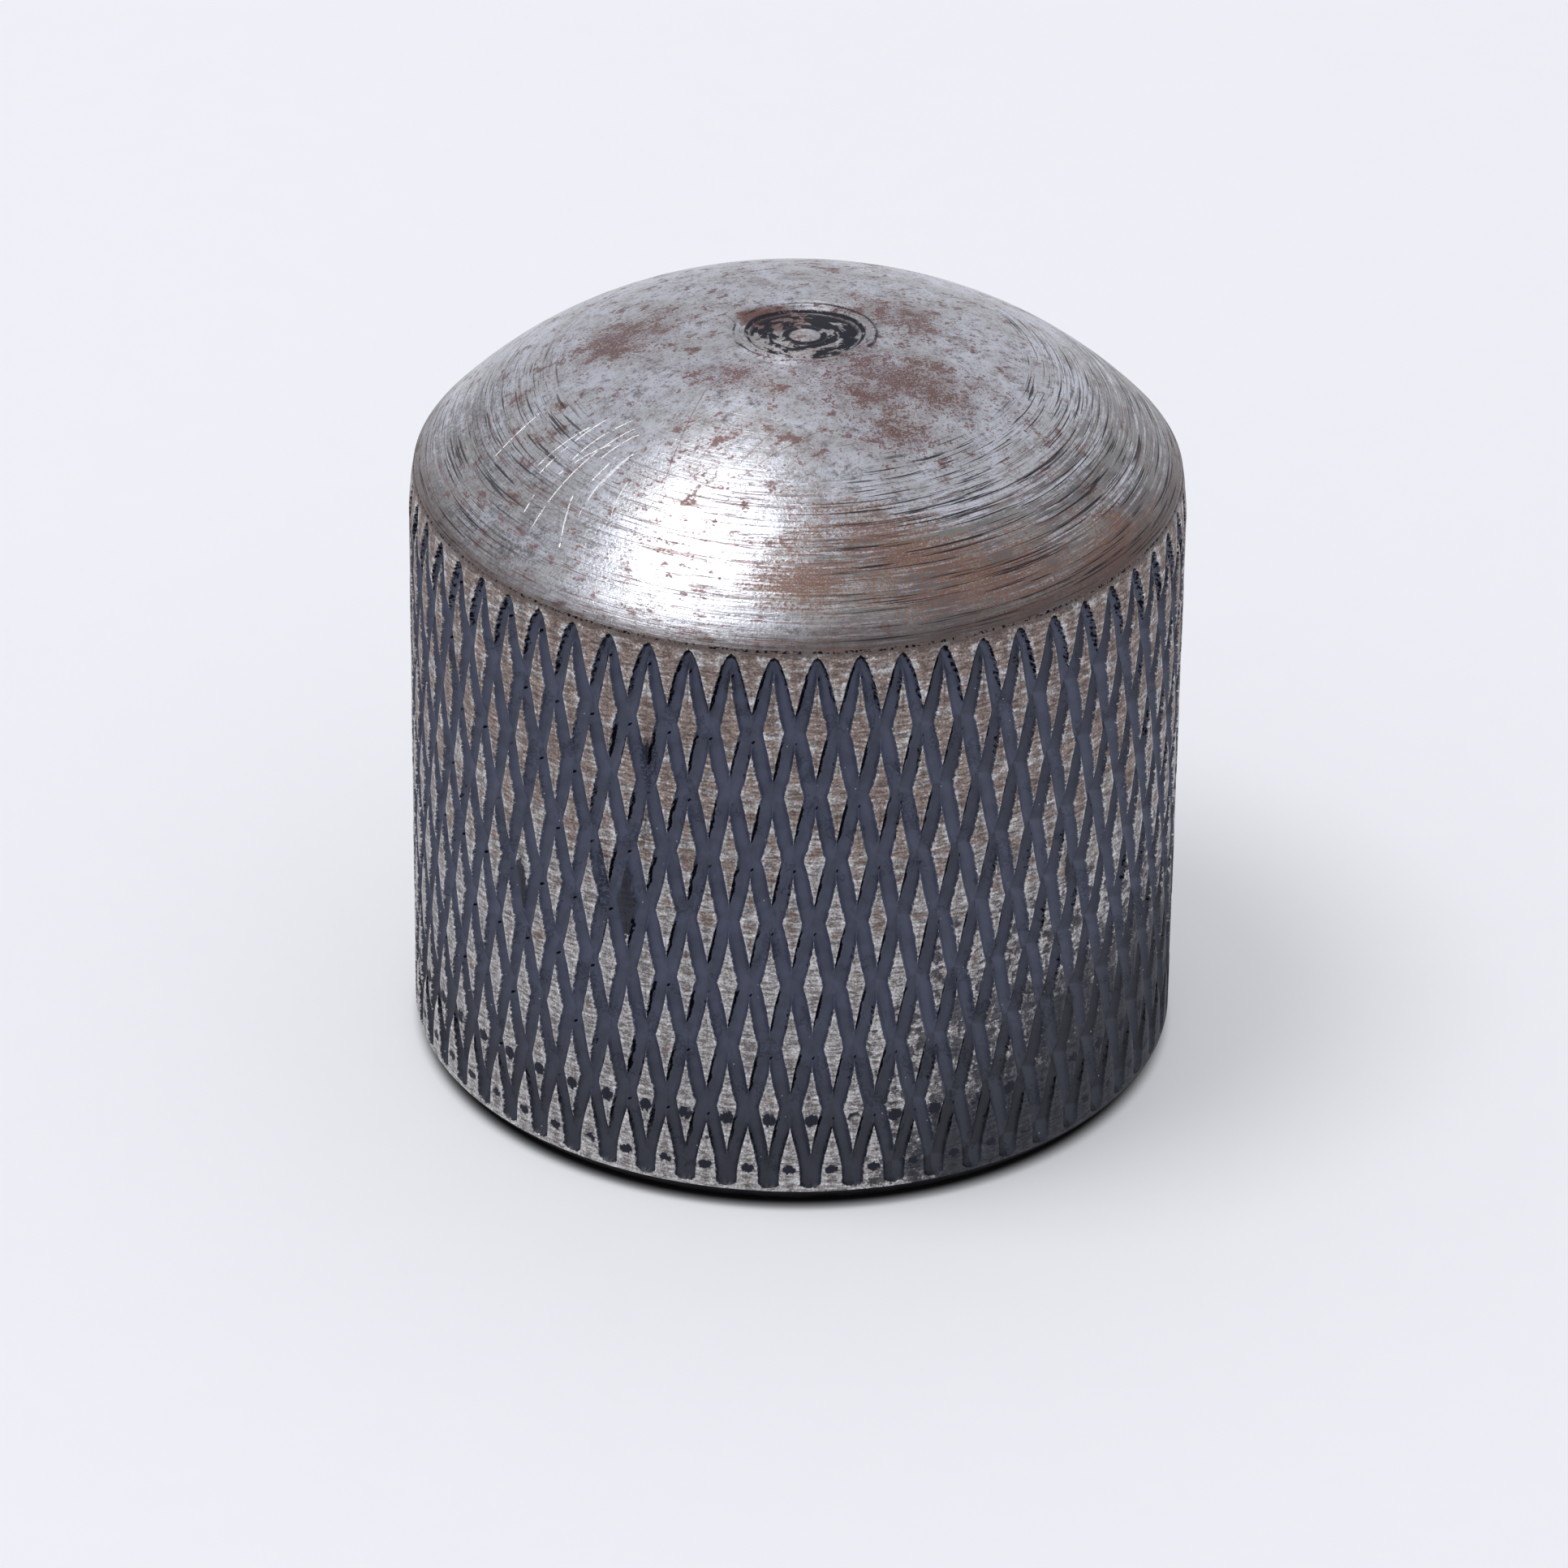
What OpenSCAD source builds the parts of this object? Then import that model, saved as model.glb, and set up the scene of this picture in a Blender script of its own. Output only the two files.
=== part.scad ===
// Dome-topped control knob, turned from one piece of steel bar, with a diamond-knurled side,
// a blind shaft bore in its base and a slotted grub screw that locks it on the shaft.
// Millimetres. The base stands on Z = 0, the axis is Z, and the grub screw points along +Y.

/* [Body] */
// Diameter across the lands of the knurl
body_d = 18.5; // [16:0.1:22]
// Height of the side, from the base to the edge of the dome
side_h = 15.1; // [13:0.1:18]
// Chamfer round the base
base_chamfer = 0.5; // [0.2:0.05:0.8]
// Length of side that leans in below the dome, where the corner was eased with emery
ease_h = 1.3; // [0.6:0.1:2]
// How far the side has leaned in at the edge of the dome
ease_in = 0.12; // [0:0.01:0.2]

/* [Dome] */
// Height of the dome above its edge
dome_h = 3.6; // [2.8:0.1:5]
// Radius of the flatter crown in the middle of the dome
crown_r = 20; // [16:1:30]
// Diameter of that crown
crown_d = 5.6; // [4:0.2:8]
// Diameter of the shallow dish that the tool left at the centre
dish_d = 2.9; // [2:0.1:3.6]
// Depth of the dish
dish_depth = 0.16; // [0.08:0.02:0.3]
// Diameter of the pip that stands in the dish
pip_d = 0.6; // [0.4:0.1:1]
// Height of the pip above the floor of the dish
pip_h = 0.08; // [0.04:0.01:0.16]

/* [Knurl] */
// Pitch of the grooves of one hand, measured round the side
knurl_pitch = 1.0; // [0.8:0.05:1.4]
// Angle of the grooves to the axis
helix_angle = 16.4; // [12:0.2:24]
// Plain side left between the lowest crossings of the grooves and the chamfer
knurl_foot = 0.6; // [0.55:0.05:1.5]
// Plain side left between the highest crossings of the grooves and the edge of the dome
knurl_head = 0.38; // [0.35:0.01:1.5]
// Width of a groove's mouth, measured round the side
groove_w = 0.53; // [0.4:0.01:0.6]
// Height of the gap between the tips of one land and the next
groove_gap_h = 1.3; // [0.8:0.02:1.6]
// The same gap at the highest lands, where the grooves run out
head_gap_h = 0.86; // [0.5:0.02:0.9]
// Depth of a groove at its middle
groove_depth = 0.2; // [0.1:0.01:0.3]
// Width of the rounded floor of a groove, measured round the side
floor_w = 0.26; // [0.15:0.01:0.34]
// How much deeper the middle of that floor is than its edges
floor_dish = 0.04; // [0.01:0.01:0.06]
// How far the pointed upper ends of the grooves reach past the highest crossings
runout_head = 0.25; // [0.1:0.01:0.3]
// How far the blunt lower ends of the grooves run straight down past the lowest crossings
runout_foot = 0.5; // [0.3:0.01:0.5]
// Length over which a groove fades to nothing at its upper end
fade_head = 0.5; // [0.45:0.05:1]
// Length over which a groove fades to nothing at its lower end
fade_foot = 0.5; // [0.5:0.05:1]

/* [Shaft bore] */
// Diameter of the shaft that the knob fits
shaft_d = 6.35; // [4:0.05:8]
// Gap between shaft and bore, on the diameter
shaft_clearance = 0.05; // [0.02:0.01:0.2]
// Depth of the bore to the start of its drill point
bore_depth = 12.5; // [8:0.5:13]
// Angle of the drill point
drill_angle = 118; // [90:1:140]
// Countersink round the mouth of the bore
mouth_chamfer = 0.4; // [0.1:0.1:0.8]

/* [Grub screw] */
// Thread diameter of the grub screw
screw_d = 3.0; // [2.5:0.5:4]
// Length of the grub screw
screw_l = 5.0; // [3:0.5:5]
// Height of the grub screw's axis above the base
screw_z = 4.5; // [3:0.1:8]
// Gap between the grub screw and its hole, on the diameter
screw_clearance = 0.08; // [0.04:0.02:0.2]
// How far the tip of the grub screw stays back from the bore
screw_back = 0.2; // [0.1:0.05:0.5]
// Width of the screwdriver slot
slot_w = 0.5; // [0.4:0.1:0.8]
// Depth of the screwdriver slot
slot_depth = 0.8; // [0.5:0.1:1.2]
// Depth of the cup in the tip, and of the chamfers at both ends
cup_depth = 0.4; // [0.2:0.05:0.6]

/* [Hidden] */

body_r = body_d / 2;
edge_r = body_r - ease_in;
bore_r = (shaft_d + shaft_clearance) / 2;
screw_r = screw_d / 2;
screw_hole_r = screw_r + screw_clearance / 2;

// The revolved core stays this far inside the faceted side where the two meet.
skin_step = 0.012;
// The core runs this far below the deepest groove.
core_gap = 0.3;
round_fn = 96;

// ---- Dome profile: a flat crown arc, then a tighter shoulder arc tangent to it ----
crown_a = asin(crown_d / 2 / crown_r);
apex_z = side_h + dome_h;
joint_p = [crown_d / 2, apex_z - crown_r * (1 - cos(crown_a))];
dome_edge = [edge_r - skin_step, side_h];
joint_n = [sin(crown_a), cos(crown_a)];
chord = dome_edge - joint_p;
shoulder_r = -(chord * chord) / (2 * chord * joint_n);
shoulder_c = joint_p - shoulder_r * joint_n;
edge_a = acos((dome_edge[1] - shoulder_c[1]) / shoulder_r);
dish_a = asin(dish_d / 2 / crown_r);
dish_floor_z = apex_z - crown_r * (1 - cos(dish_a)) - dish_depth;
// The shoulder arc is carried on a little, inside the side, to clear the meeting plane.
overrun_a = 0.05;

function arc(centre, r, from_a, to_a, steps) =
    [for (i = [0:steps]) let (a = from_a + (to_a - from_a) * i / steps)
        centre + r * [sin(a), cos(a)]];

// ---- Knurl lattice ----
starts = round(PI * body_d / knurl_pitch);
pitch_a = 360 / starts;
foot_z = base_chamfer + knurl_foot;
head_z = side_h - knurl_head;
diamonds_up = max(1, round((head_z - foot_z) * tan(helix_angle) / knurl_pitch));
row_h = (head_z - foot_z) / (2 * diamonds_up);
last_row = 2 * diamonds_up;
pitch = 2 * PI * body_r / starts;

// Half the width of a land as a share of the pitch, and half its height in rows.
land_u = 0.5 - groove_w / pitch / 2;
land_v = 1 - groove_gap_h / row_h / 2;
floor_u = 0.5 - floor_w / pitch / 2;
floor_v = 1 - (1 - land_v) * floor_w / groove_w;
edge_depth = groove_depth - floor_dish;

// Radius of the plain side at a height: straight, then eased in below the dome.
function side_r(z) = body_r - ease_in * pow(max(0, (z - side_h + ease_h) / ease_h), 2);

// A point of the side: u in pitches round it, v in rows above the lowest crossings.
function on_side(u, v, depth) =
    let (z = foot_z + v * row_h, r = side_r(z) - depth)
    [r * cos(u * pitch_a), r * sin(u * pitch_a), z];

// ---- Points of the knurled sleeve ----
// At an end of the knurl each pair of grooves joins in one mouth, and the plain band reaches
// in between two mouths. An outline is half of a mouth as points [u, y], from its blunt or
// pointed end to the band's innermost point, where y counts rows outward from the end crossings.
head_tip = runout_head / row_h;
foot_tip = runout_foot / row_h;
head_v = 1 - head_gap_h / row_h / 2;
head_fade = fade_head / row_h;
foot_fade = fade_foot / row_h;

// Upwards a mouth is a pointed arch, a parabola. Downwards it is a slot as wide as a groove.
head_outline = [for (u = [0, 1 / 8, 1 / 4, 3 / 8, 1 / 2])
    [u, head_tip - (head_tip + head_v) * pow(2 * u, 2)]];
slot_u = groove_w / pitch / 2;
foot_outline = [
    [0, foot_tip], [0.95 * slot_u, 0.85 * foot_tip], [slot_u, 0],
    [0.5 * slot_u + 0.25, -0.42 * land_v], [0.5, -land_v]
];
head_floor_u = sqrt(head_tip / (head_tip + head_v)) * floor_w / groove_w / 2;
foot_floor_u = slot_u * floor_w / groove_w;

function fade(y, tip, length) = min(1, (tip - y) / length);

// One end of the knurl at groove pair k, with its mouth's outline, half the width of its
// floor beside the end crossing, the length it fades over, and how far out the sleeve ends.
function end_points(k, side, base_v, outline, floor_x, length, ring_y) =
    let (at = function(u, y, depth) on_side(k + u, base_v + side * y, depth))
    let (tip = outline[0][1], low = outline[4][1])
    let (floor_low = -1 + (1 + low) * floor_w / groove_w)
    let (floor_end = edge_depth * fade(0, tip, length))
    [
        at(0, tip, 0),
        for (i = [1:3]) at(outline[i][0], outline[i][1], 0),
        for (i = [1:3]) at(-outline[i][0], outline[i][1], 0),
        at(floor_x, 0, floor_end),
        at(-floor_x, 0, floor_end),
        at(0.5, low, 0),
        at(0.5, floor_low, edge_depth * fade(floor_low, tip, length)),
        at(0.5, tip, 0),
        at(0, ring_y, 0),
        at(0.5, ring_y, 0)
    ];

// What each of those points is called, in the same order.
END_NAMES = [
    "tip", "mouth_1", "mouth_2", "mouth_3", "back_1", "back_2", "back_3", "floor",
    "floor_back", "low", "low_floor", "band", "ring", "ring_mid"
];

function crossing_depth(j) = groove_depth
    * (j == last_row ? fade(0, head_tip, head_fade) : j == 0 ? fade(0, foot_tip, foot_fade) : 1);

// Odd rows have their lands on the groove pairs, and even rows between them.
function land_mid(k, j) = k + (j % 2 == 1 ? 0 : 0.5);

function land_points(k, j) =
    let (u = land_mid(k, j), top_v = j == last_row - 1 ? head_v : land_v)
    let (floor_top = 1 - (1 - top_v) * floor_w / groove_w)
    [
        on_side(u - land_u, j, 0),
        on_side(u, j - land_v, 0),
        on_side(u + land_u, j, 0),
        on_side(u, j + top_v, 0),
        on_side(u - floor_u, j, edge_depth),
        on_side(u, j - floor_v, edge_depth),
        on_side(u + floor_u, j, edge_depth),
        on_side(u, j + floor_top, edge_depth)
    ];
LAND_NAMES = [
    "left", "bottom", "right", "top", "floor_left", "floor_bottom", "floor_right", "floor_top"
];

// Where each point lies in the sleeve's list of points.
lands_from = starts * (last_row + 1);
head_from = lands_from + starts * (last_row - 1) * len(LAND_NAMES);
foot_from = head_from + starts * len(END_NAMES);

function place(name, names) = search([name], names)[0];
function crossing(k, j) = j * starts + (k + starts) % starts;
function land(k, j, name) =
    lands_from + ((j - 1) * starts + k) * len(LAND_NAMES) + place(name, LAND_NAMES);
function end_i(from, k, name) =
    from + ((k + starts) % starts) * len(END_NAMES) + place(name, END_NAMES);

sleeve_points = [
    for (j = [0:last_row]) for (k = [0:starts - 1])
        on_side(k + (j % 2) / 2, j, crossing_depth(j)),
    for (j = [1:last_row - 1]) for (k = [0:starts - 1]) each land_points(k, j),
    for (k = [0:starts - 1]) each end_points(k, 1, last_row, head_outline, head_floor_u,
        head_fade, knurl_head / row_h),
    for (k = [0:starts - 1]) each end_points(k, -1, 0, foot_outline, foot_floor_u,
        foot_fade, knurl_foot / row_h)
];

// ---- Faces of the knurled sleeve, listed anticlockwise as seen from outside ----
function flip(faces) = [for (f = faces) [for (i = [len(f) - 1:-1:0]) f[i]]];

// The quad a-b-c-d as two triangles that share its diagonal from a, or from b.
function split_a(a, b, c, d) = [[a, b, c], [a, c, d]];
function split_b(a, b, c, d) = [[a, b, d], [b, c, d]];

function land_faces(k, j) =
    let (odd = j % 2)
    let (left = crossing(k - odd, j), right = crossing(k + 1 - odd, j))
    let (cross = [left, crossing(k, j - 1), right, crossing(k, j + 1)])
    let (mouth = [for (name = ["left", "bottom", "right", "top"]) land(k, j, name)])
    let (foot = [for (name = ["floor_left", "floor_bottom", "floor_right", "floor_top"])
        land(k, j, name)])
    [
        [mouth[0], mouth[1], mouth[3]],
        [mouth[1], mouth[2], mouth[3]],
        for (i = [0:3]) let (n = (i + 1) % 4)
            each (i % 2 == 0 ? split_a(mouth[n], mouth[i], foot[i], foot[n])
                             : split_b(mouth[n], mouth[i], foot[i], foot[n])),
        for (i = [0:3]) let (n = (i + 1) % 4)
            each (i % 2 == 0 ? split_a(foot[n], foot[i], cross[i], cross[n])
                             : split_b(foot[n], foot[i], cross[i], cross[n]))
    ];

// Half of a mouth, from its end to the plain band's innermost point on one side.
function mouth_half(tip, a, floor_i, low, low_floor, inner, end) = [
    [low, a[2], low_floor],
    [a[2], floor_i, low_floor],
    [a[2], a[1], floor_i],
    [a[1], a[0], floor_i],
    [a[0], tip, floor_i],
    [low_floor, floor_i, inner],
    [floor_i, end, inner],
    [floor_i, tip, end]
];

function end_faces(from, k, end_row, inner_row) =
    let (e = function(pair, name) end_i(from, pair, name))
    let (front = [for (name = ["mouth_1", "mouth_2", "mouth_3"]) e(k, name)])
    let (back = function(pair) [for (name = ["back_1", "back_2", "back_3"]) e(pair, name)])
    let (band = [
        e(k, "low"), each flip([back(k + 1)])[0], e(k + 1, "tip"), e(k + 1, "ring"),
        e(k, "ring_mid"), e(k, "ring"), e(k, "tip"), each front
    ])
    [
        each mouth_half(e(k, "tip"), front, e(k, "floor"), e(k, "low"), e(k, "low_floor"),
            crossing(k, inner_row), crossing(k, end_row)),
        each flip(mouth_half(e(k, "tip"), back(k), e(k, "floor_back"), e(k - 1, "low"),
            e(k - 1, "low_floor"), crossing(k - 1, inner_row), crossing(k, end_row))),
        for (i = [0:len(band) - 1]) [e(k, "band"), band[i], band[(i + 1) % len(band)]]
    ];

// The flat face that closes an end of the sleeve, inside the core.
function cap(from) = [for (k = [0:starts - 1]) for (name = ["ring", "ring_mid"]) end_i(from, k, name)];

sleeve_faces = [
    for (j = [1:last_row - 1]) for (k = [0:starts - 1]) each land_faces(k, j),
    for (k = [0:starts - 1]) each end_faces(head_from, k, last_row, last_row - 1),
    for (k = [0:starts - 1]) each flip(end_faces(foot_from, k, 0, 1)),
    cap(head_from),
    each flip([cap(foot_from)])
];

module knurled_sleeve() {
    polyhedron(points = sleeve_points, faces = flip(sleeve_faces), convexity = 6);
}

// Everything that is turned and not knurled: base, chamfer, dome, dish and pip.
module turned_core() {
    inner_r = body_r - groove_depth - core_gap;
    foot_r = body_r - skin_step;
    rotate_extrude($fn = round_fn)
        polygon([
            [0, 0],
            [foot_r - base_chamfer, 0],
            [foot_r, base_chamfer],
            [inner_r, base_chamfer + core_gap],
            [inner_r, side_h - core_gap],
            each arc(shoulder_c, shoulder_r, edge_a + overrun_a, crown_a, 10),
            each arc([0, apex_z - crown_r], crown_r, crown_a, dish_a, 4),
            [dish_d / 2 - dish_depth, dish_floor_z],
            [pip_d / 2, dish_floor_z],
            [pip_d / 2 - pip_h / 2, dish_floor_z + pip_h],
            [0, dish_floor_z + pip_h]
        ]);
}

module shaft_bore() {
    point_h = bore_r / tan(drill_angle / 2);
    translate([0, 0, -1]) cylinder(r = bore_r, h = bore_depth + 1, $fn = round_fn);
    translate([0, 0, bore_depth]) cylinder(r1 = bore_r, r2 = 0, h = point_h, $fn = round_fn);
    translate([0, 0, -mouth_chamfer])
        cylinder(r1 = bore_r + 2 * mouth_chamfer, r2 = bore_r, h = 2 * mouth_chamfer, $fn = round_fn);
}

module knob_body() {
    color("slategray")
    difference() {
        union() {
            turned_core();
            knurled_sleeve();
        }
        shaft_bore();
        translate([0, 0, screw_z]) rotate([-90, 0, 0])
            cylinder(r = screw_hole_r, h = body_d, $fn = 48);
    }
}

module set_screw() {
    color("dimgray")
    translate([0, bore_r + screw_back, screw_z]) rotate([-90, 0, 0])
    difference() {
        rotate_extrude($fn = 48)
            polygon([
                [0, cup_depth],
                [screw_r - cup_depth, 0],
                [screw_r, cup_depth],
                [screw_r, screw_l - cup_depth],
                [screw_r - cup_depth, screw_l],
                [0, screw_l]
            ]);
        translate([-screw_d, -slot_w / 2, screw_l - slot_depth])
            cube([2 * screw_d, slot_w, slot_depth + 1]);
    }
}

knob_body();
set_screw();
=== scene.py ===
"""A worn, dome-topped steel control knob with a diamond-knurled side, dressed around its CAD model.

The mesh code works in millimetres, and make_piece turns a mesh into metres. The side is laid out
in lattice coordinates: u counts pitches of the knurl round the axis and v counts rows of lands.
"""

import itertools
import math

import bmesh
import bpy
import numpy as np
from mathutils import Matrix, Vector


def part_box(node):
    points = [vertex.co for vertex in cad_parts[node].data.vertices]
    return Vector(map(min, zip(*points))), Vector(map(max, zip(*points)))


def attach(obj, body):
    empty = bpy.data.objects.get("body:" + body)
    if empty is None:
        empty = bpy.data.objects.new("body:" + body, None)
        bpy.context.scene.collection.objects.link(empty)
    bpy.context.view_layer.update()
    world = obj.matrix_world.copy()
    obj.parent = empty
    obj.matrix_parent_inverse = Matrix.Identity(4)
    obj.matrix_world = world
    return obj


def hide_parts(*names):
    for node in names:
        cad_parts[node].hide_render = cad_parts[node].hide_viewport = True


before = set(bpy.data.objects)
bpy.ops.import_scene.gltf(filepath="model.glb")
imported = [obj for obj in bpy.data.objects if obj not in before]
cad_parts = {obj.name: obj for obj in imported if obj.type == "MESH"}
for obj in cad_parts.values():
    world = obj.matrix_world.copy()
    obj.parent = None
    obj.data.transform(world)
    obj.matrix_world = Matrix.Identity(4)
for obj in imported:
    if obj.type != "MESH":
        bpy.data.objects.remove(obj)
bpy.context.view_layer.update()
scene = bpy.context.scene

MM = 0.001
rng = np.random.default_rng(58)

# ---- Sizes of the body and the screw, as in the CAD model, in mm ----
BODY_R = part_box("knob_body")[1].x / MM
SIDE_H = 15.1
DOME_H = 3.6
BASE_CHAMFER = 0.5
EASE_H = 1.3  # the side eases in over this height below the dome
EASE_IN = 0.12  # and by this much
CROWN_R = 20.0  # the flatter arc in the middle of the dome
CROWN_D = 5.6
DISH_R, DISH_DEPTH = 1.45, 0.16
PIP_R, PIP_H = 0.3, 0.05
DISH_OFF = (0.12, -0.06)  # how far off the axis the dish was turned
OFF_FADE = (2.0, 3.6)  # and the radii between which that fades out
# Fine turned grooves round the dish and in it: radius, width and depth.
DISH_RINGS = ((1.52, 0.05, 0.03), (1.73, 0.03, 0.02), (0.62, 0.05, 0.02))
STARTS = 58  # grooves of each hand
ROWS = 8
KNURL_FOOT = 0.6  # from the chamfer up to the lowest crossings
KNURL_HEAD = 0.38  # from the dome's edge down to the highest crossings
GROOVE_DEPTH = 0.2
BORE_R, BORE_DEPTH = 3.2, 12.5
DRILL_ANGLE = 118
MOUTH_CHAMFER = 0.4
SCREW_R = 1.5
SCREW_HOLE_R = 1.54
SCREW_Z = 4.5
SCREW_BACK = 0.2  # from the wall of the bore to the point of the screw
SCREW_L = 5.0
SLOT_W, SLOT_DEPTH = 0.5, 0.8
CUP_DEPTH = 0.4
THREAD_PITCH, THREAD_DEPTH = 0.5, 0.28

EDGE_R = BODY_R - EASE_IN
APEX_Z = SIDE_H + DOME_H
FOOT_Z = BASE_CHAMFER + KNURL_FOOT
HEAD_Z = SIDE_H - KNURL_HEAD
ROW_H = (HEAD_Z - FOOT_Z) / ROWS
PITCH_A = 2 * math.pi / STARTS
PITCH = PITCH_A * BODY_R

# ---- The knurl's finer shape, in pitches and rows unless it says mm ----
SIDE_STEPS = 7  # points along each side of a land
LAND_HALF_W = 0.235
LAND_NEEDLE = 1.35  # how much a land's sides curve in towards its needle-like ends
LAND_UP, LAND_DOWN = 0.7, 0.76
LAND_UP_LAST = 0.84  # in the highest row, where the grooves run out
LAND_REACH = (LAND_UP + LAND_DOWN) / 2
# The slope from a land's edge into a groove: distance in mm, its largest share of the way to
# the groove's middle, depth, and the extra depth where the edge has torn.
SLOPE = [(0.0, 0.0, 0.006, 0.0), (0.012, 0.12, 0.028, 0.07),
         (0.032, 0.3, 0.07, 0.12), (0.07, 0.6, 0.125, 0.0)]
# How unevenly the lands are cut: shares of their half width, of their reach up and down, and
# how much each point of their outline strays.
HALF_W_PLAY, UP_PLAY, DOWN_PLAY, POINT_PLAY = (0.93, 1.06), (0.96, 1.03), (0.97, 1.03), 0.025
END_FADE = 0.25  # over how many mm a groove gets shallow towards its mouth's tip
TIP_PLAY = 0.014  # how unevenly the mouths end, in rows
HEAD_RIM_Z = SIDE_H - 0.045  # where the knurl's sheet ends below the dome, in mm
FOOT_RIM_Z = BASE_CHAMFER + 0.015  # and above the chamfer

# The body's surfaces, by material slot.
SIDE, DOME, BASE, BORE = range(4)

# Columns of the round parts, per pitch of the knurl and all round.
COLUMNS = 4
ROUND = STARTS * COLUMNS
INNER = ROUND // 2  # columns near the axis

MERGE_DIST = 0.0002  # points this near each other, in mm, are one point


def side_r(z):
    """Radius of the plain side at a height: straight, then eased in below the dome."""
    return BODY_R - EASE_IN * (np.maximum(0, z - SIDE_H + EASE_H) / EASE_H) ** 2


def on_side(u, v, depth):
    """Points of the side, from lattice coordinates and depth below the plain side."""
    u, v, depth = np.broadcast_arrays(np.asarray(u, float), v, depth)
    z = FOOT_Z + v * ROW_H
    r = side_r(z) - depth
    return np.stack([r * np.cos(u * PITCH_A), r * np.sin(u * PITCH_A), z], -1)


def dome_arcs():
    """The shoulder arc's centre and radius: it is tangent to the crown and ends at the edge."""
    tilt = math.asin(CROWN_D / 2 / CROWN_R)
    joint = np.array([CROWN_D / 2, APEX_Z - CROWN_R * (1 - math.cos(tilt))])
    normal = np.array([math.sin(tilt), math.cos(tilt)])
    chord = np.array([EDGE_R, SIDE_H]) - joint
    radius = -(chord @ chord) / (2 * chord @ normal)
    return joint - radius * normal, radius


SHOULDER_C, SHOULDER_R = dome_arcs()


def dome_z(r):
    """Height of the dome at a distance from the axis, without its dish."""
    crown = APEX_Z - CROWN_R + np.sqrt(CROWN_R**2 - np.asarray(r, float) ** 2)
    across = np.maximum(SHOULDER_R**2 - (r - SHOULDER_C[0]) ** 2, 0)
    return np.where(r < CROWN_D / 2, crown, SHOULDER_C[1] + np.sqrt(across))


def smoothstep(low, high, x):
    """0 below low, 1 above high, and a soft step between."""
    t = np.clip((x - low) / (high - low), 0, 1)
    return t * t * (3 - 2 * t)


class Shell:
    """Collects the parts of one mesh: batches of alike cells, each with its own copies of the
    points it shares with its neighbours, which make_piece merges."""

    def __init__(self):
        self.points, self.faces, self.surfaces, self.edges, self.cells = [], [], [], [], []
        self.count = 0

    def add(self, points, faces, surface, edge=(0.0, 0.0), cell=(0.0, 0.0), up=True):
        """points is cells x points x 3. For the materials, edge is the distance in mm outward
        from a land's edge, with how torn it is, and cell is the place in the cell."""
        cells, size = points.shape[:2]
        faces = np.asarray(faces)[:, ::1 if up else -1]
        starts = self.count + size * np.arange(cells)
        self.points.append(points.reshape(-1, 3))
        self.faces.append((faces[None] + starts[:, None, None]).reshape(-1, 3))
        self.edges.append(np.broadcast_to(edge, (cells, size, 2)).reshape(-1, 2))
        self.cells.append(np.broadcast_to(cell, (cells, size, 2)).reshape(-1, 2))
        self.surfaces.append(np.full(len(self.faces[-1]), surface))
        self.count += cells * size


def quads(a, b):
    """Triangles between two rows of equal length, where b is above a as seen from outside."""
    return [corners for i in range(len(a) - 1)
            for corners in ([a[i], a[i + 1], b[i + 1]], [a[i], b[i + 1], b[i]])]


def stitch(a, b, at_a, at_b):
    """Triangles between two rows of any length, given how far along each point is."""
    made, i, j = [], 0, 0
    while i < len(a) - 1 or j < len(b) - 1:
        if i < len(a) - 1 and (j == len(b) - 1 or at_a[i + 1] <= at_b[j + 1]):
            made.append([a[i], a[i + 1], b[j]])
            i += 1
        else:
            made.append([a[i], b[j + 1], b[j]])
            j += 1
    return made


def place(name, data):
    """A new object in the scene."""
    made = bpy.data.objects.new(name, data)
    scene.collection.objects.link(made)
    return made


def make_piece(name, shell, materials):
    """One mesh object from a shell, with shared points merged and smooth faces."""
    mesh = bpy.data.meshes.new(name)
    points = np.concatenate(shell.points) * MM
    faces = np.concatenate(shell.faces)
    mesh.from_pydata(points, [], faces)
    mesh.polygons.foreach_set("material_index", np.concatenate(shell.surfaces).astype(np.int32))
    for layer, parts in (("cell", shell.cells), ("edge", shell.edges)):
        values = np.concatenate(parts)[faces.ravel()]
        mesh.uv_layers.new(name=layer).uv.foreach_set("vector", values.astype(np.float32).ravel())
    for material in materials:
        mesh.materials.append(material)
    merged = bmesh.new()
    merged.from_mesh(mesh)
    bmesh.ops.remove_doubles(merged, verts=merged.verts, dist=MERGE_DIST * MM)
    merged.to_mesh(mesh)
    merged.free()
    mesh.shade_smooth()
    return place(name, mesh)


# ---- The lands of the knurl ----
# Along one side of a land, from its widest point to its end: how far along each point is on the
# cell's boundary and on the land's outline, and how far the slope is a ridge between two grooves.
BOUNDARY = np.arange(SIDE_STEPS + 1) / SIDE_STEPS
OUTLINE = np.array([0, 0.19, 0.38, 0.56, 0.72, 0.85, 0.94, 1.0])
RIDGE_SHARE = np.array([0, 0, 0, 0, 0, 0.2, 0.6, 1.0])


def ridge_drop(y):
    """How far, in mm, a land's needle-like end has sunk at a distance from its middle."""
    return 0.06 * np.clip((np.abs(y) - 0.45) / 0.3, 0, 1) ** 2


# Once round a land, from its right corner by its upper end: steps, and signs of x and y.
RISE, FALL = range(SIDE_STEPS), range(SIDE_STEPS, 0, -1)
SIDES = (RISE, 1, 1), (FALL, -1, 1), (RISE, -1, -1), (FALL, 1, -1)
LAND_ROUND = [(i, x_sign, y_sign) for steps, x_sign, y_sign in SIDES for i in steps]


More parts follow.
